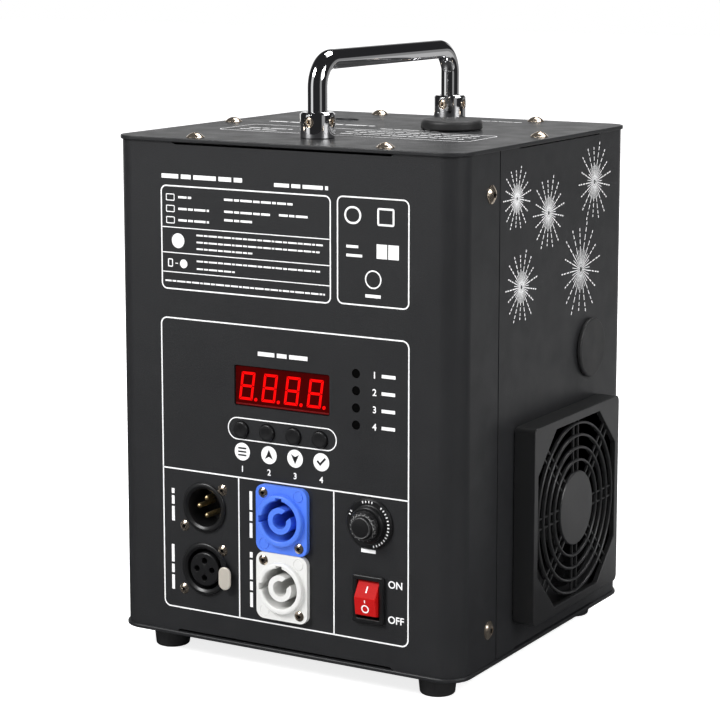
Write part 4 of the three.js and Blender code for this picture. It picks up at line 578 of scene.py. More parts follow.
def rear_shell():
    tools = []
    flanges = []
    for row in REAR_NOTCHES:
        tools += notches(*row)
        flanges += folds(*row)
    tools.append(wall_hole(disc(FAN_BORE, 96), "right", *FAN_PLACE))
    tools.append(wall_hole(disc(SIDE_PLUG_STEM + EASE), "right", *SIDE_PLUG))
    for i in range(VENT_COUNT):
        z = VENT_Z + (i - (VENT_COUNT - 1) / 2) * VENT_PITCH
        slot = rounded(*VENT_SIZE, VENT_SIZE[1] / 2 - 0.01, 6)
        tools.append(wall_hole(slot, "left", -RIGHT, VENT_LEFT_Y, z))
        tools.append(wall_hole(slot, "back", 0, -FRONT, z))
    tongues = []
    for side in (-1, 1):
        xs = sorted((side * (RIGHT - WALL - EASE), side * (RIGHT - 2 * WALL - EASE)))
        outline = rectangle(*xs, SEAM_Y - TONGUE, SEAM_Y + 5)
        tongues.append(prism(outline, CASE_LOW + FLANGE, CASE_HIGH - FLANGE))
    node = "rear_shell"
    sheet = prism(folded_outline(SEAM_Y + SEAM_GAP), CASE_LOW, CASE_HIGH)
    part(f"{node}_walls", sheet, PAINT, node=node, tools=tools, edge=SHEET_EDGE)
    for name, shapes in (("flanges", flanges), ("tongues", tongues)):
        part(f"{node}_{name}", joined(*shapes), PAINT, node=node, edge=SHEET_EDGE)


# Plates and feet

FILLER = (31, 16)
FILLER_BORE = 13.3
NOZZLE = (-45, 38)
NOZZLE_RADIUS = 10.7
PLATE_EDGE = (0.55, 4)
FEET = {
    "foot_front_left": (-71.5, -70),
    "foot_front_right": (71.5, -70),
    "foot_back_left": (-71.5, 70),
    "foot_back_right": (71.5, 70),
}
FOOT_HEIGHT = 10.5


def plates():
    width, depth = [size + 2 * OVERHANG for size in (CASE_WIDTH, CASE_DEPTH)]
    outline = rounded(width, depth, CASE_CORNER + OVERHANG, 16)
    holes = ((FILLER_BORE, FILLER), (NOZZLE_RADIUS + EASE, NOZZLE))
    tools = [moved(prism(disc(radius, 64), CASE_HIGH - 1, TOP + 1), *place) for radius, place in holes]
    top = prism(outline, CASE_HIGH, TOP)
    part("top_plate_sheet", top, PAINT, node="top_plate", tools=tools, edge=PLATE_EDGE)
    part("bottom_plate_sheet", prism(outline, 0, PLATE), PAINT, node="bottom_plate", edge=PLATE_EDGE)


def feet():
    base = -FOOT_HEIGHT
    profile = [(0, base + 2.5), (4.3, base + 2.5), (4.3, base)]
    profile += arc(6.8, base + 1.2, 1.2, -90, -5, 6)
    profile += arc(8.6, -0.4, 0.4, 0, 90, 4)
    profile += [(2, 0), (2, 6), (0, 6)]
    for name, (x, y) in FEET.items():
        part(f"{name}_rubber", turned(profile), RUBBER, centre=(x, y, 0), node=name)


# Screws

RECESS_DEPTH = 0.7
SCREW_SINK = 1.2
SCREW_EDGE = (0.08, 2, 40)
CASE_SCREW = (4.2, 2.3, 1.45)  # radius of the head, its rise, size of its recess
SIDE_SCREW = (4.2, 1.9, 1.6)
DATA_SCREW = (2.5, 1.1, 1.15)
POWER_SCREW = (2.4, 0.9, 1.15)
TOP_SCREWS = ((-49.5, -79), (49.5, -79), (-44, 79), (44, 79), (-83, 3), (83, 3))
SIDE_SCREWS = ((-57.6, 211.9), (-57.1, 17.4))


def screw(name, facing, centre, size, turn, node=None):
    """A domed head on a short stem, with a six-lobed hole and a disc of painted shade at its floor."""
    radius, rise, recess = size
    ball = (radius * radius + rise * rise) / (2 * rise)
    edge = degrees(asin(radius / ball))
    dome = arc(0, rise - ball, ball, 90 - edge, 90, 10)[:-1]
    profile = [(0, -SCREW_SINK), (radius * 0.6, -SCREW_SINK), (radius * 0.6, 0), (radius, 0)]
    profile += [(r, max(z, 0.12 * rise)) for r, z in dome] + [(0, rise)]
    lobes = []
    for x, y in disc(1, 72):
        reach = recess * (0.83 + 0.17 * cos(6 * atan2(y, x)))
        lobes.append((reach * x, reach * y))
    floor = rise - RECESS_DEPTH
    hole = moved(prism(lobes, floor, rise + 1), turn=turn)
    part(name, turned(profile, 40), NICKEL, facing, centre, node, tools=[hole], edge=SCREW_EDGE)
    # A near-black disc at the floor of the lobed hole: painted shade, where the metal is in shade.
    bottom = prism(disc(recess - 0.05, 24), floor - 0.2, floor + 0.05)
    piece(f"{name}_recess_shade", bottom, SHADE_BLACK, facing, centre, node)


def case_screws():
    for i, (x, y) in enumerate(TOP_SCREWS):
        node = f"top_screw_{i + 1}"
        screw(f"{node}_head", "up", (x, y, TOP), CASE_SCREW, 17 * i, node)
    for i, (y, z) in enumerate(SIDE_SCREWS):
        screw(f"right_screw_{i + 1}", "right", (RIGHT, y, z), SIDE_SCREW, 23 * i)
        screw(f"left_screw_{i + 1}", "left", (-RIGHT, y, z), SIDE_SCREW, 11 * i)


# Handle

BAR_RADIUS = 4.6
BAR_SIDES = 40
HANDLE_RISE = 39.5
HANDLE_ENDS = (-54, 72)
HANDLE_BEND = 12
COLLAR_RADIUS = 8
COLLAR_HEIGHT = 11.8
SET_SCREW_Z = 7.6
SET_SCREW_RADIUS = 2.25
SET_SCREW_FACINGS = ("front", "right")


def handle_path():
    """The bar's centre line as (y, z), with the direction of each point."""
    height = TOP + HANDLE_RISE - BAR_RADIUS
    front, back = HANDLE_ENDS
    bend = HANDLE_BEND
    points = [((front, TOP), 90)]
    for middle, start in ((front + bend, 180), (back - bend, 90)):
        for i, point in enumerate(arc(middle, height - bend, bend, start, start - 90, 16)):
            points.append((point, start - 90 - 90 * i / 16))
    points.append(((back, TOP), -90))
    return points


def handle_bar():
    rings = []
    for (y, z), way in handle_path():
        across = radians(way + 90)
        points = disc(BAR_RADIUS, BAR_SIDES)
        rings.append([(side, y + out * cos(across), z + out * sin(across)) for out, side in points])
    part("handle_bar_tube", lofted(rings, False), CHROME, node="handle_bar")


def collar(name, y):
    bore = BAR_RADIUS + EASE
    wide = COLLAR_RADIUS
    rim = TOP + COLLAR_HEIGHT
    profile = [(bore, TOP), (wide - 0.5, TOP), (wide, TOP + 0.5), (wide, rim - 0.9), (wide - 0.9, rim)]
    profile += [(bore + 0.4, rim), (bore, rim - 0.4)]
    z = TOP + SET_SCREW_Z
    tools = []
    for facing in SET_SCREW_FACINGS:
        drill = prism(disc(SET_SCREW_RADIUS + 0.15, 24), bore - 1, wide + 1)
        tools.append(moved(drill, z=z, facing=facing))
    ring = turned(profile, 96)
    part(f"{name}_ring", ring, CHROME, centre=(0, y, 0), node=name, tools=tools, edge=(0.2, 3))
    wide = SET_SCREW_RADIUS
    for facing in SET_SCREW_FACINGS:
        plug = turned([(0, 5.5), (wide, 5.5), (wide, 7.3), (wide - 0.5, 7.7), (0, 7.7)], 24)
        hexagon = prism(disc(1.05, 6), 6.4, 9)
        plug_name = f"{name}_set_screw_{facing}"
        part(plug_name, plug, NICKEL, facing, (0, y, z), tools=[hexagon], edge=SCREW_EDGE)


# Plugs and nozzle

FILLER_RADIUS = 14.5
FILLER_RISE = 4.6
SIDE_PLUG_RADIUS = 14
SIDE_PLUG_FACE = 2


def plugs():
    low = EASE
    high = low + FILLER_RISE
    wide = FILLER_RADIUS
    profile = [(0, -11), (10.4, -11), (11.2, -10.2), (11.2, low), (wide - 1, low)]
    profile += arc(wide - 1, low + 1, 1, -90, 0, 6) + arc(wide - 1.8, high - 1.8, 1.8, 0, 90, 8)
    profile.append((0, high))
    name = "filler_plug"
    part(f"{name}_rubber", turned(profile, 96), PLUG, "up", (*FILLER, TOP), name, name)
    high = low + SIDE_PLUG_FACE
    wide = SIDE_PLUG_RADIUS
    profile = [(0, -7), (10.2, -7), (10.7, -6.4), (10.7, low), (wide - 0.3, low), (wide, low + 0.3)]
    profile += [*arc(wide - 1, high - 1, 1, 0, 90, 6), (0, high)]
    name = "side_plug"
    part(f"{name}_rubber", turned(profile, 96), PLUG, "right", SIDE_PLUG, name, name)


def nozzle():
    rim = -0.8
    step = -PLATE - EASE
    wide = NOZZLE_RADIUS
    profile = [(8, -16), (18, -16), (18, step), (wide, step), (wide, rim - 0.4), (wide - 0.4, rim)]
    profile += [(8.7, rim), (8, rim - 0.7)]
    part("nozzle_ring", turned(profile, 96), STEEL, centre=(*NOZZLE, TOP), node="nozzle")


# Fan cover

COVER_SIZE = 91.2
COVER_DEPTH = 10.7
COVER_WALL = 2.4
COVER_FACE = 2.6
COVER_CORNER = 3
OPENING_HALF = 41.6
OPENING_CUT = 23.3
HUB_RADIUS = 17.4
GRILLE_TOP = COVER_DEPTH - 0.4
GRILLE_RADII = (22.5, 28.3, 34.1, 39.9)
GRILLE_BAR = 1.3
SPOKES = 8
SPOKE_BAR = 0.75
SPOKE_SPREAD = 4.8


def cover_tray():
    size = COVER_SIZE
    hollow = size - 2 * COVER_WALL
    tray = prism(rounded(size, size, COVER_CORNER, 10), EASE, COVER_DEPTH)
    inside = prism(rounded(hollow, hollow, COVER_CORNER - 1.5, 8), -1, COVER_DEPTH - COVER_FACE)
    half = OPENING_HALF
    end = OPENING_CUT
    octagon = [(half, -end), (half, end), (end, half), (-end, half)]
    octagon += [(-x, -y) for x, y in octagon]
    tools = [inside, prism(octagon, 0, COVER_DEPTH + 1)]
    node = "fan_cover"
    part(f"{node}_tray", tray, COVER, "right", FAN_PLACE, node, node, tools, (0.9, 4))


def cover_grille():
    half = GRILLE_BAR / 2
    low = GRILLE_TOP - 1.8
    high = GRILLE_TOP - half
    shapes = []
    for radius in GRILLE_RADII:
        profile = [(radius - half, low), (radius + half, low), (radius + half, high)]
        profile += [*arc(radius, high, half, 15, 165, 6), (radius - half, high)]
        shapes.append(turned(profile, 96))
    for i in range(SPOKES):
        reach = (OPENING_HALF + OPENING_CUT) * sqrt(0.5) if i % 2 else OPENING_HALF
        for y in (-SPOKE_SPREAD / 2, SPOKE_SPREAD / 2):
            outline = rectangle(HUB_RADIUS - 1, reach + 1, y - SPOKE_BAR / 2, y + SPOKE_BAR / 2)
            bar = prism(outline, GRILLE_TOP - 2, GRILLE_TOP - 0.8)
            shapes.append(moved(bar, turn=360 * i / SPOKES))
    wide = HUB_RADIUS
    hub = [(0, low), (wide, low), (wide, GRILLE_TOP - 0.4), (wide - 0.4, GRILLE_TOP), (0, GRILLE_TOP)]
    shapes.append(turned(hub, 96))
    node = "fan_cover"
    part(f"{node}_grille", joined(*shapes), COVER, "right", FAN_PLACE, node, node, edge=(0.12, 2))


# Control panel

WINDOW = (49.6, 18)
WINDOW_PLACE = (0.2, 121.9)
WINDOW_SINK = 0.7
BUTTON_RADIUS = 3.85
BUTTON_XS = [-21.2 + 13.87 * i for i in range(4)]
BUTTON_Z = 101.5
BUTTON_PROUD = 1.4
BUTTON_STEM = 9.05
LIGHT_RADIUS = 2.1
LIGHT_X = 38.8
LIGHT_ZS = [133.2 - 7.67 * i for i in range(4)]
DIGIT_WIDTH = 7.3
DIGIT_HEIGHT = 13
DIGIT_PITCH = 11.95
DIGIT_SHIFT = -0.6
DIGIT_BAR = 1.25
DIGIT_GAP = 0.18
DIGIT_SLANT = 0.14


def on_front(x, z):
    """The facing and the place of a piece on the front wall."""
    return "front", (x, FRONT, z)


def display_window():
    lens = prism(rounded(*WINDOW, 1, 4), -3, -WINDOW_SINK)
    lip = prism(rounded(WINDOW[0] + 4, WINDOW[1] + 4, 1, 4), -3, -WALL - EASE)
    place = on_front(*WINDOW_PLACE)
    shape = joined(lens, lip)
    part("display_lens", shape, LENS_RED, *place, "display_window", edge=(0.15, 2))
    # A brighter red strip along the lower edge of the window: painted highlight, where the lower lip
    # catches the light.
    half = WINDOW[0] / 2 - 0.3
    low = -WINDOW[1] / 2 + 0.3
    edge = prism(rectangle(-half, half, low, low + 0.7), -WINDOW_SINK, -WINDOW_SINK + 0.1)
    piece("display_lens_painted_highlight", edge, LENS_HIGHLIGHT_RED, *place)


def digit_outlines(x):
    """The seven bars and the point of a digit, mitred where they meet."""
    wide = DIGIT_WIDTH / 2
    tall = DIGIT_HEIGHT / 2
    bar = DIGIT_BAR
    gap = DIGIT_GAP
    inner = wide - bar - gap
    middle = [(inner, bar / 2), (-inner, bar / 2), (-inner - bar / 2, 0)]
    outlines = [middle + [(-u, -v) for u, v in middle]]
    level = [(-wide + gap, tall), (wide - gap, tall), (inner, tall - bar), (-inner, tall - bar)]
    upright = [(wide, tall - gap), (wide, gap), (wide - bar / 2, gap), (wide - bar, bar / 2 + gap)]
    upright.append((wide - bar, tall - bar - gap))
    for side in (-1, 1):
        outlines.append([(u, side * v) for u, v in level])
        for end in (-1, 1):
            outlines.append([(side * u, end * v) for u, v in upright])
    outlines.append(disc(0.85, 16, x=wide + 1.7, y=-tall + 0.6))
    return [[(x + u + DIGIT_SLANT * v, v) for u, v in outline] for outline in outlines]


def display_digits():
    shapes = []
    for i in range(4):
        for outline in digit_outlines((i - 1.5) * DIGIT_PITCH + DIGIT_SHIFT):
            shapes.append(prism(outline, -WINDOW_SINK - 0.1, -WINDOW_SINK + 0.05))
    ink("display_digits", shapes, *on_front(*WINDOW_PLACE), LIT_RED)


def buttons():
    wide = BUTTON_RADIUS
    high = BUTTON_PROUD
    low = -BUTTON_STEM
    profile = [(0, low), (1.7, low), (1.7, -2.7), (5.2, -2.7), (5.2, -1.5), (wide, -1.5)]
    profile += arc(wide - 0.6, high - 0.6, 0.6, 0, 80, 6)
    profile += [(wide * 0.6, high - 0.12), (0, high - 0.3)]
    for i, x in enumerate(BUTTON_XS):
        name = f"button_{i + 1}"
        part(f"{name}_cap", turned(profile, 48), BLACK, *on_front(x, BUTTON_Z), name, name)


def indicator_lights():
    low = -WALL - 0.5
    wide = LIGHT_RADIUS
    high = -0.3
    cap = [(0, low), (wide + 0.5, low), (wide + 0.5, -WALL), (wide, -WALL), (wide, high), (0, high)]
    for i, z in enumerate(LIGHT_ZS):
        # Each light is a near-black cap sunk in its hole: the unlit light's own dark, deepened with
        # painted shade.
        part(f"indicator_{i + 1}", turned(cap, 32), SHADE_BLACK, *on_front(LIGHT_X, z))


# Data sockets

DATA_X = -41.6
DATA_IN_Z = 62.8
DATA_OUT_Z = 33.7
# Name, z, bore and radius of the ring
DATA_SHELLS = (("data_in_shell", DATA_IN_Z, 8.9, 11.6), ("data_out_shell", DATA_OUT_Z, 9.6, 12.4))
DATA_INSERT = 8
DATA_BARREL = 10.4
DATA_PROUD = 1.3
DATA_DEPTH = 15
PIN_CIRCLE = 4.1
TAB_PLACE = (12.6, -2)
DATA_SCREWS = ((-31.7, 72.1), (-52.8, 52.9), (-31.9, 43.7), (-53.5, 22.8))


def data_shell(name, z, bore, ring):
    high = DATA_PROUD
    profile = [(bore, -DATA_DEPTH), (DATA_BARREL, -DATA_DEPTH - 8), (DATA_BARREL, 0), (ring, 0)]
    profile += [(ring, high - 0.6), (ring - 0.25, high - 0.2), (ring - 0.7, high)]
    profile += [(bore + 1.1, high), (bore + 0.6, high - 0.5), (bore, high - 0.8)]
    place = on_front(DATA_X, z)
    part(f"{name}_body", turned(profile, 96), BLACK, *place, name, edge=(0.12, 2, 40))
    flange = prism(rounded(27, 26, 2, 4), -3.2, -WALL - 0.05)
    made = piece(f"{name}_flange", flange, BLACK, *place, name)
    facing, centre = place
    cut(made, moved(prism(disc(DATA_BARREL - 0.1, 64), -5, 0), *centre, facing=facing))


def round_pins(shape, angles):
    """Places one shape at each angle of the circle of pins."""
    turns = [radians(angle) for angle in angles]
    return [moved(shape(), PIN_CIRCLE * cos(turn), PIN_CIRCLE * sin(turn)) for turn in turns]


def data_pins():
    floor = -DATA_DEPTH + EASE
    base = turned([(0, floor), (8.6, floor), (8.6, floor + 1.2), (0, floor + 1.2)], 64)
    place = on_front(DATA_X, DATA_IN_Z)
    node = "data_in_pins"
    part("data_in_disc", base, BLACK, *place, node)
    pin = [(0, floor), (1.2, floor), *arc(0, floor + 13.8 - 1.2, 1.2, 0, 90, 6)]
    pins = round_pins(lambda: turned(pin, 24), (90, 180, 270))
    spring = prism(rectangle(8.3, 8.85, -2, 2), -7.5, -3)
    part("data_in_contacts", joined(*pins, spring), GOLD, *place, node)


def data_insert():
    high = DATA_PROUD - EASE
    low = -DATA_DEPTH + EASE
    wide = DATA_INSERT
    core = turned([(0, low), (wide, low), (wide, high - 0.5), (wide - 0.5, high), (0, high)], 64)
    holes = round_pins(lambda: prism(disc(1.45, 24), high - 6, high + 1), (0, 90, 180, 270))
    place = on_front(DATA_X, DATA_OUT_Z)
    node = "data_out_insert"
    part("data_out_core", core, BLACK, *place, node, tools=holes, edge=(0.2, 2, 40))


def release_tab():
    """The push tab of the data outlet: a pale oval on a black neck that comes from the ring."""
    tab = "data_out_tab"
    place = on_front(DATA_X + TAB_PLACE[0], DATA_OUT_Z + TAB_PLACE[1])
    plate = prism(rounded(6.3, 10.6, 3.1, 10), 2.4, 3.6)
    part(f"{tab}_plate", plate, TAB, *place, tab, tab, edge=(0.35, 3, 40))
    neck = prism([(-1.2, 4.5), (1.0, 4.5), (-1.4, 9.2), (-2.8, 8.4)], 2.2, 3.2)
    stem = turned([(0, -7), (0.9, -7), (0.9, 2.6), (0, 2.6)], 16)
    part(f"{tab}_neck", joined(neck, stem), BLACK, *place, tab, tab, edge=(0.2, 2, 40))


def data_sockets():
    for row in DATA_SHELLS:
        data_shell(*row)
    data_pins()
    data_insert()
    release_tab()
    for i, place in enumerate(DATA_SCREWS):
        screw(f"data_screw_{i + 1}", *on_front(*place), DATA_SCREW, 20 * i)


# Power sockets

POWER_X = 1.3
POWER_IN_Z = 62.8
POWER_OUT_Z = 31.6
POWER_FLANGE = (27, 31)
POWER_THICK = 2.5
POWER_RING = 11.9
POWER_PROUD = 2.4
POWER_BORE = 9.3
POWER_BARREL = 11.6
POWER_CORE = 6.1
POWER_CORE_BORE = 3.6


def power_flange(name, plastic, place):
    flange = prism(rounded(*POWER_FLANGE, 4, 10), 0, POWER_THICK)
    tools = [prism(disc(POWER_RING - 0.5, 96), -1, POWER_THICK + 1)]
    low = POWER_THICK - 0.25
    for side in (-1, 1):
        blank = turned([(2.3, low), (2.6, low), (2.6, 4), (2.3, 4)], 32)
        tools.append(moved(blank, 9 * side, 11.8 * side))
    part(f"{name}_flange", flange, plastic, *place, name, tools=tools, edge=(0.7, 4, 40))


def power_socket(name, z, plastic):
    place = on_front(POWER_X, z)
    power_flange(name, plastic, place)
    top = POWER_THICK + POWER_PROUD
    bore = POWER_BORE
    ring = POWER_RING
    profile = [(bore, -17), (POWER_BARREL, -22), (POWER_BARREL, 0), (ring, 0.2), (ring, top - 0.7)]
    profile += [(ring - 0.3, top - 0.2), (ring - 0.9, top), (bore + 0.7, top)]
    profile += [(bore + 0.2, top - 0.2), (bore, top - 0.7)]
    keys = [rectangle(-1.6, 1.6, 6, bore + 1.3), rectangle(-bore - 1.3, -6, -1.6, 1.6)]
    tools = [prism(key, -14, top + 1) for key in keys]
    shape = turned(profile, 96)
    part(f"{name}_ring", shape, plastic, *place, name, tools=tools, edge=(0.15, 2, 40))
    core = prism(disc(POWER_CORE, 64), -17.5, top - 0.9)
    slot = moved(prism(rectangle(0, 8, -1.9, 1.9), -16, top + 1), turn=40)
    tools = [prism(disc(POWER_CORE_BORE, 48), -16, top + 1), slot]
    part(f"{name}_core", core, plastic, *place, name, tools=tools, edge=(0.3, 3, 40))
    floor = prism(disc(bore + 0.5, 64), -18.5, -17)
    part(f"{name}_floor", floor, plastic, *place, name, edge=(0.1, 1))
    for i, (x, rise) in enumerate(((-9.5, 11.8), (9.4, -11.8))):
        centre = (POWER_X + x, FRONT - POWER_THICK, z + rise)
        screw(f"{name}_screw_{i + 1}", "front", centre, POWER_SCREW, 15 + 40 * i)


# Fuse

FUSE_PLACE = (46.1, 66.8)
FUSE_BARREL = 7
FUSE_FLANGE = 11.6
FUSE_FLANGE_RISE = 1.6


def fuse():
    place = on_front(*FUSE_PLACE)
    wide = FUSE_FLANGE
    high = FUSE_FLANGE_RISE
    profile = [(5.4, -32.5), (0, -32.5), (0, -34), (7, -34), (7, 0), (wide, 0), (wide, 0.9)]
    profile += [(wide - 0.7, high), (9.2, high), (8.7, 1.4), (8.2, high), (8.2, 3.4), (7.6, 4)]
    profile += [(6.2, 4), (5.4, 3.4)]
    holder = turned(profile, 96)
    part("fuse_holder_body", holder, BLACK, *place, "fuse_holder", edge=(0.1, 2, 40))
    low = 4 + EASE
    cap = [(0, -4), (2.9, -4), (2.9, -10), (5.1, -10), (5.1, low), (6.4, low), (6.8, low + 0.4)]
    cap += [(6.8, low + 2.2), (6.2, low + 3), (5, low + 3), (5, 8), (4.7, 8.7), (4, 9), (0, 9)]
    grip = disc(0.42, 10, x=6.95)
    grips = [moved(prism(grip, low - 1, low + 3.4), turn=20 * i) for i in range(18)]
    node = "fuse_cap"
    tools = [joined(*grips)]
    part(f"{node}_knob", turned(cap, 72), BLACK, *place, node, node, tools, (0.12, 2, 40))


# Rocker switch

SWITCH_PLACE = (45.8, 32.5)
BEZEL = (15.8, 21.6)
BEZEL_PROUD = 2
ROCKER_WIDTH = 10.8
ROCKER_HALF = 7.7
ROCKER_RIDGE = 6.5
ROCKER_FALL = 2.8
ROCKER_TILT = 12
PIVOT_DEPTH = 1.7
PIVOT_PLACE = (SWITCH_PLACE[0], FRONT + PIVOT_DEPTH, SWITCH_PLACE[1])


def switch_housing():
    rows = (
        ("switch_bezel", rounded(*BEZEL, 1, 5), 0, BEZEL_PROUD, -1, (0.5, 3)),
        ("switch_body", rectangle(-7, 7, -9.8, 9.8), -14, 0.5, -9, (0.2, 2)),
    )
    place = on_front(*SWITCH_PLACE)
    for name, outline, low, high, floor, edge in rows:
        tools = [prism(rectangle(-5.7, 5.7, -8.7, 8.7), floor, BEZEL_PROUD + 1)]
        shape = prism(outline, low, high)
        part(name, shape, BLACK, *place, "switch_housing", tools=tools, edge=edge)


def rocker_turn(shape):
    """Tilts a bmesh, drawn level round the pivot, to the rest position."""
    return placed(shape, Matrix.Rotation(-radians(ROCKER_TILT), 4, "X"))


def switch_rocker():
    low = -ROCKER_RIDGE
    half = ROCKER_HALF
    outline = [(low, 0), (low + ROCKER_FALL, -half), (0, -half), (3, -5.5), (3, 5.5), (0, half)]
    outline.append((low + ROCKER_FALL, half))
    shape = prism(outline, -ROCKER_WIDTH / 2, ROCKER_WIDTH / 2)
    shape = rocker_turn(moved(shape, facing="right"))
    node = "switch_rocker"
    part(f"{node}_key", shape, RED, "up", PIVOT_PLACE, node, node, edge=(0.35, 3, 10))


# Printed marks: thin layers of ink on the paint

INK_DEPTH = 0.06
INK_SINK = -0.04
LINE = 0.62
CAPITALS = 0.73  # the height of capitals, as a share of the letter size


def band(outer, inner):
    """The ribbon between two outlines of the same number of points."""
    edges = ((outer, INK_SINK), (outer, INK_DEPTH), (inner, INK_DEPTH), (inner, INK_SINK))
    return lofted([[(x, y, height) for x, y in outline] for outline, height in edges], True)


def border(low_x, high_x, low_z, high_z, radius=3.0, line=LINE):
    width = high_x - low_x
    height = high_z - low_z
    middle = ((low_x + high_x) / 2, (low_z + high_z) / 2)
    inner = rounded(width - 2 * line, height - 2 * line, max(radius - line, 0.05), 8, *middle)
    return band(rounded(width, height, radius, 8, *middle), inner)


def strip(low_x, high_x, low_z, high_z):
    return prism(rectangle(low_x, high_x, low_z, high_z), INK_SINK, INK_DEPTH)


def dot(x, z, radius):
    return prism(disc(radius, 40, x, z), INK_SINK, INK_DEPTH)


def words(text, x, z, size):
    """Plain lettering as a flat bmesh, with capitals of the given height."""
    data = bpy.data.curves.new("words", "FONT")
    data.body = text
    data.size = size / CAPITALS
    data.align_x = data.align_y = "CENTER"
    data.resolution_u = 4
    data.offset = 0.02 * size
    holder = linked("words", data)
    graph = bpy.context.evaluated_depsgraph_get()
    mesh = bpy.data.meshes.new_from_object(holder.evaluated_get(graph), depsgraph=graph)
    shape = bmesh.new()
    shape.from_mesh(mesh)
    bpy.data.objects.remove(holder)
    bpy.data.curves.remove(data)
    bpy.data.meshes.remove(mesh)
    bmesh.ops.remove_doubles(shape, verts=shape.verts, dist=0.001)
    raised = bmesh.ops.extrude_face_region(shape, geom=shape.faces[:])
    lifted = [item for item in raised["geom"] if isinstance(item, bmesh.types.BMVert)]
    bmesh.ops.translate(shape, verts=lifted, vec=(0, 0, INK_DEPTH - INK_SINK))
    moved(shape, x, z, INK_SINK)
    bmesh.ops.recalc_face_normals(shape, faces=shape.faces)
    return shape


def ink(name, shapes, facing="front", centre=(0, FRONT, 0), material=INK, body="case"):
    made = piece(name, joined(*shapes), material, facing, centre, None, body)
    made.data.shade_flat()


# Plain bars stand where the object has words: (low x, high x, middle z, height)
TITLE_BARS = ((-63.4, -19.8, 214.7, 2), (-3, 24.8, 213.7, 1.7))
INFO_BARS = (
    (-54.4, -47.3, 205.3, 1), (-54.4, -37.7, 200, 1), (-54.4, -37.7, 194.8, 1),
    (-29.5, 7.6, 205.6, 1), (-29.5, -5.2, 200.2, 1), (-0.5, 14.5, 200.4, 1), (-29.5, -14.7, 196.4, 1),
    (-44.6, 22.2, 188.5, 0.75), (-44.6, 20.4, 185.3, 0.75), (-44.6, -14.6, 182.3, 0.75),
    (-44.6, 20.6, 176.7, 0.75), (-44.6, -23.7, 173.2, 0.75), (-62, 23.1, 166.8, 0.75),
)
CONTROL_BARS = (
    (-12.1, 14, 137.3, 1.9), (51.8, 59.5, 133.2, 1.5), (51.8, 58.5, 125.5, 1.5),
    (51.8, 58.5, 117.8, 1.5), (51.8, 58.5, 110.2, 1.5), (41.5, 50, 54.2, 1.6),
)
UPRIGHT_BARS = ((54.4, 69.8, -59.2), (21.7, 43.1, -59.6), (51.9, 73.6, -16.4), (19.4, 45.2, -16.4))
TOP_BARS = (
    (-69, -10, 14.5, 2.2), (0, 31, 3, 1.4), (-58, -34, -21, 1.4), (-58, -38, -29, 1.4),
    (-6, 60, -11, 1.4), (-6, 62, -19, 1.4), (-4, 60, -27, 1.4), (19, 43, 68, 1.2),
)
WORD_LENGTHS = (4.6, 2.7, 6.1, 3.4, 5.2, 1.9)
WORD_GAP = 0.7


def word_bars(rows):
    """Rows of bars of uneven length, with gaps between."""
    shapes = []
    for start, high, z, height in rows:
        lengths = itertools.cycle(WORD_LENGTHS)
        while start < high:
            length = next(lengths)
            end = min(start + length * height, high)
            if end - start > 0.6 * height:
                shapes.append(strip(start, end, z - height / 2, z + height / 2))
            start += (length + WORD_GAP) * height
    return shapes


def info_frames():
    shapes = [border(-64, 26.2, 162.9, 210.6), border(29.25, 65.4, 163.4, 211)]
    shapes += [strip(-63.6, 25.8, z - 0.2, z + 0.2) for z in (191.4, 179.8, 170.9)]
    shapes += [border(-61.1, -56.4, z - 1.6, z + 1.6, 0.5, 0.4) for z in (205.1, 199.9, 194.7)]
    ink("info_frames", shapes + word_bars(TITLE_BARS + INFO_BARS))


def plain_marks():
    """Plain figures where the object has its row of small marks."""
    shapes = [
        dot(-54.7, 185.4, 3.4),
        border(-60.4, -57.7, 173.2, 177, 0.6, 0.5),
        strip(-56.3, -54.9, 174.8, 175.2),
        dot(-51.8, 175, 2),
        border(33, 41.5, 198.9, 206.7, 3.9, 0.9),
        border(49.5, 58, 198.9, 206.7, 1, 0.9),
        strip(34, 42, 184.6, 185.8),
        strip(34, 40, 188.5, 189.7),
        strip(49.2, 54.4, 184.6, 190.9),
        strip(55, 60.2, 184.6, 190.9),
        border(43.4, 51.6, 171.2, 179.4, 4.1, 0.6),
        strip(43.6, 51.3, 167.3, 168.7),
    ]
    ink("plain_marks", shapes)


def fuse_ticks():
    """Small ticks round the fuse holder's flange."""
    angles = (*range(-75, 60, 9), *range(80, 108, 9), 150, 159)
    shapes = [moved(strip(9.6, 10.6, -0.25, 0.25), turn=angle) for angle in angles]
    ink("fuse_ticks", shapes, "front", (FUSE_PLACE[0], FRONT - FUSE_FLANGE_RISE, FUSE_PLACE[1]))


def upright_labels():
    """The bars beside the sockets, which read downwards."""
    shapes = []
    for low, high, x in UPRIGHT_BARS:
        shapes += [moved(shape, x, turn=90) for shape in word_bars([(low, high, 0, 1.5)])]
    ink("upright_labels", shapes)


def top_labels():
    shapes = [border(-66, 67, -37, -4.5, 4, 0.5), *word_bars(TOP_BARS)]
    ink("top_labels", shapes, "up", (0, 0, TOP))


def control_frames():
    line = LINE / 2
    shapes = [
        border(-64.8, 65.6, 13.1, 150, 3.5),
        strip(-64.5, 65.3, 79.3 - line, 79.3 + line),
        strip(-22.9 - line, -22.9 + line, 13.5, 79.2),
        strip(27.45 - line, 27.45 + line, 13.5, 79.2),
        border(-28.5, 29, 96.8, 107.2, 5.1, 0.5),
    ]
    ink("control_frames", shapes + word_bars(CONTROL_BARS))


ICON_XS = (-20.8, -6.5, 7.3, 21.0)
ICON_Z = 91.45
ICON_RADIUS = 4.1


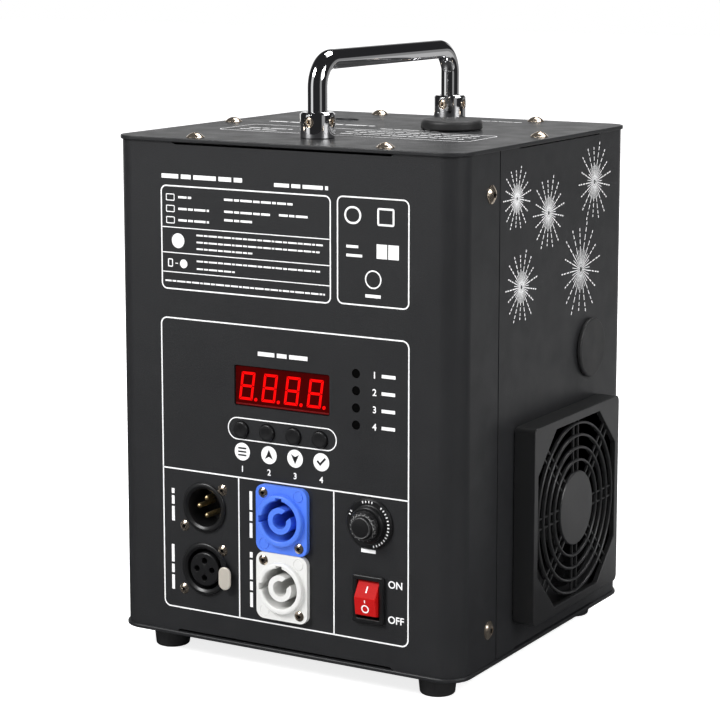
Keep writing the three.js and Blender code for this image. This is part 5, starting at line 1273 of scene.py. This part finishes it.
def icons():
    """Generic key marks, dark shapes on white discs: list, up, down and tick."""
    ink("key_discs", [dot(x, ICON_Z, ICON_RADIUS) for x in ICON_XS])
    bars = [rectangle(-2.2, 2.2, z - 0.38, z + 0.38) for z in (-1.6, 0, 1.6)]
    arrow = [(0, 2.5), (2.1, -1.9), (0, -0.8), (-2.1, -1.9)]
    tick = [(-2.4, 0.1), (-1.7, 0.8), (-0.6, -0.4), (1.8, 2.2), (2.5, 1.5), (-0.6, -1.8)]
    marks = []
    for x, outlines in zip(ICON_XS, (bars, [arrow], [[(x, -z) for x, z in arrow]], [tick])):
        for outline in outlines:
            mark = [(x + u, ICON_Z + v) for u, v in outline]
            marks.append(prism(mark, INK_DEPTH - 0.02, INK_DEPTH + 0.03))
    ink("key_marks", marks, material=BLACK)


def numerals():
    shapes = [words(str(i + 1), x, 83.3, 2.9) for i, x in enumerate(ICON_XS)]
    shapes += [words(str(i + 1), 48.2, z, 3.1) for i, z in enumerate(LIGHT_ZS)]
    shapes += [words("ON", 58.9, 40.4, 3.4), words("OFF", 59.2, 24.4, 3.4)]
    ink("numerals", shapes)


def rocker_marks():
    """The stroke and ring on the rocker, laid on its two slanted faces."""
    face = atan2(ROCKER_FALL, ROCKER_HALF)
    stroke = prism(rectangle(-0.3, 0.3, -1.5, 1.5), 0, 0.05)
    ring = moved(band(disc(1.9, 40), disc(1.35, 40)), 0, -0.9, 0.01)
    point = prism(rectangle(-0.25, 0.25, 1.9, 3.3), 0, 0.05)
    marks = []
    for sign, shape in ((1, stroke), (-1, joined(ring, point))):
        tilt = Matrix.Rotation(-sign * face, 4, "X")
        lift = Matrix.Translation((0, sign * ROCKER_HALF / 2, ROCKER_RIDGE - ROCKER_FALL / 2))
        marks.append(moved(placed(shape, lift @ tilt), facing="front"))
    whole = rocker_turn(joined(*marks))
    ink("switch_rocker_marks", [whole], "up", PIVOT_PLACE, body="switch_rocker")


# The y, z and width of each burst
BURSTS = (
    (-33, 207.7, 29.5), (-0.8, 198, 35), (48.5, 207.6, 38.5), (-27.9, 167.6, 34), (34.5, 167.8, 45.5),
)
LONG_RAYS = 17
REACHES = (1.0, 0.86, 0.95)
DASHES = ((0.06, 0.56), (0.61, 0.73), (0.79, 0.88), (0.93, 1.0))


def ray(angle, start, end, wide_start, wide_end):
    """A tapered dash on a ray from the middle."""
    along = Vector((cos(angle), sin(angle)))
    across = Vector((-along.y, along.x)) / 2
    corners = [along * start - across * wide_start, along * end - across * wide_end]
    corners += [along * end + across * wide_end, along * start + across * wide_start]
    return [(p.x, p.y) for p in corners]


def burst_outlines(radius):
    """Long rays broken into dashes towards their ends, with short whole rays between them."""
    outlines = []
    for i in range(LONG_RAYS):
        angle = pi + 2 * pi * i / LONG_RAYS
        reach = radius * (0.92 + 0.08 * abs(sin(angle))) * REACHES[i % 3]
        for start, end in DASHES:
            wide = [0.26 + 0.36 * share for share in (start, end)]
            outlines.append(ray(angle, start * reach, end * reach, *wide))
        between = angle + pi / LONG_RAYS
        outlines.append(ray(between, 0.12 * radius, 0.42 * radius, 0.24, 0.3))
    return outlines


def side_bursts():
    for i, (y, z, size) in enumerate(BURSTS):
        shapes = [prism(outline, INK_SINK, INK_DEPTH) for outline in burst_outlines(size / 2)]
        ink(f"burst_{i + 1}", shapes, "right", (RIGHT, y, z))


# Assembly

set_camera()
set_world()
set_floor()
set_lamps()
paint_nodes()
front_shell()
rear_shell()
plates()
feet()
case_screws()
handle_bar()
collar("handle_collar_front", HANDLE_ENDS[0])
collar("handle_collar_back", HANDLE_ENDS[1])
plugs()
nozzle()
cover_tray()
cover_grille()
display_window()
display_digits()
buttons()
indicator_lights()
data_sockets()
power_socket("power_in_socket", POWER_IN_Z, BLUE)
power_socket("power_out_socket", POWER_OUT_Z, WHITE)
fuse()
switch_housing()
switch_rocker()
rocker_marks()
info_frames()
plain_marks()
control_frames()
fuse_ticks()
upright_labels()
top_labels()
icons()
numerals()
side_bursts()
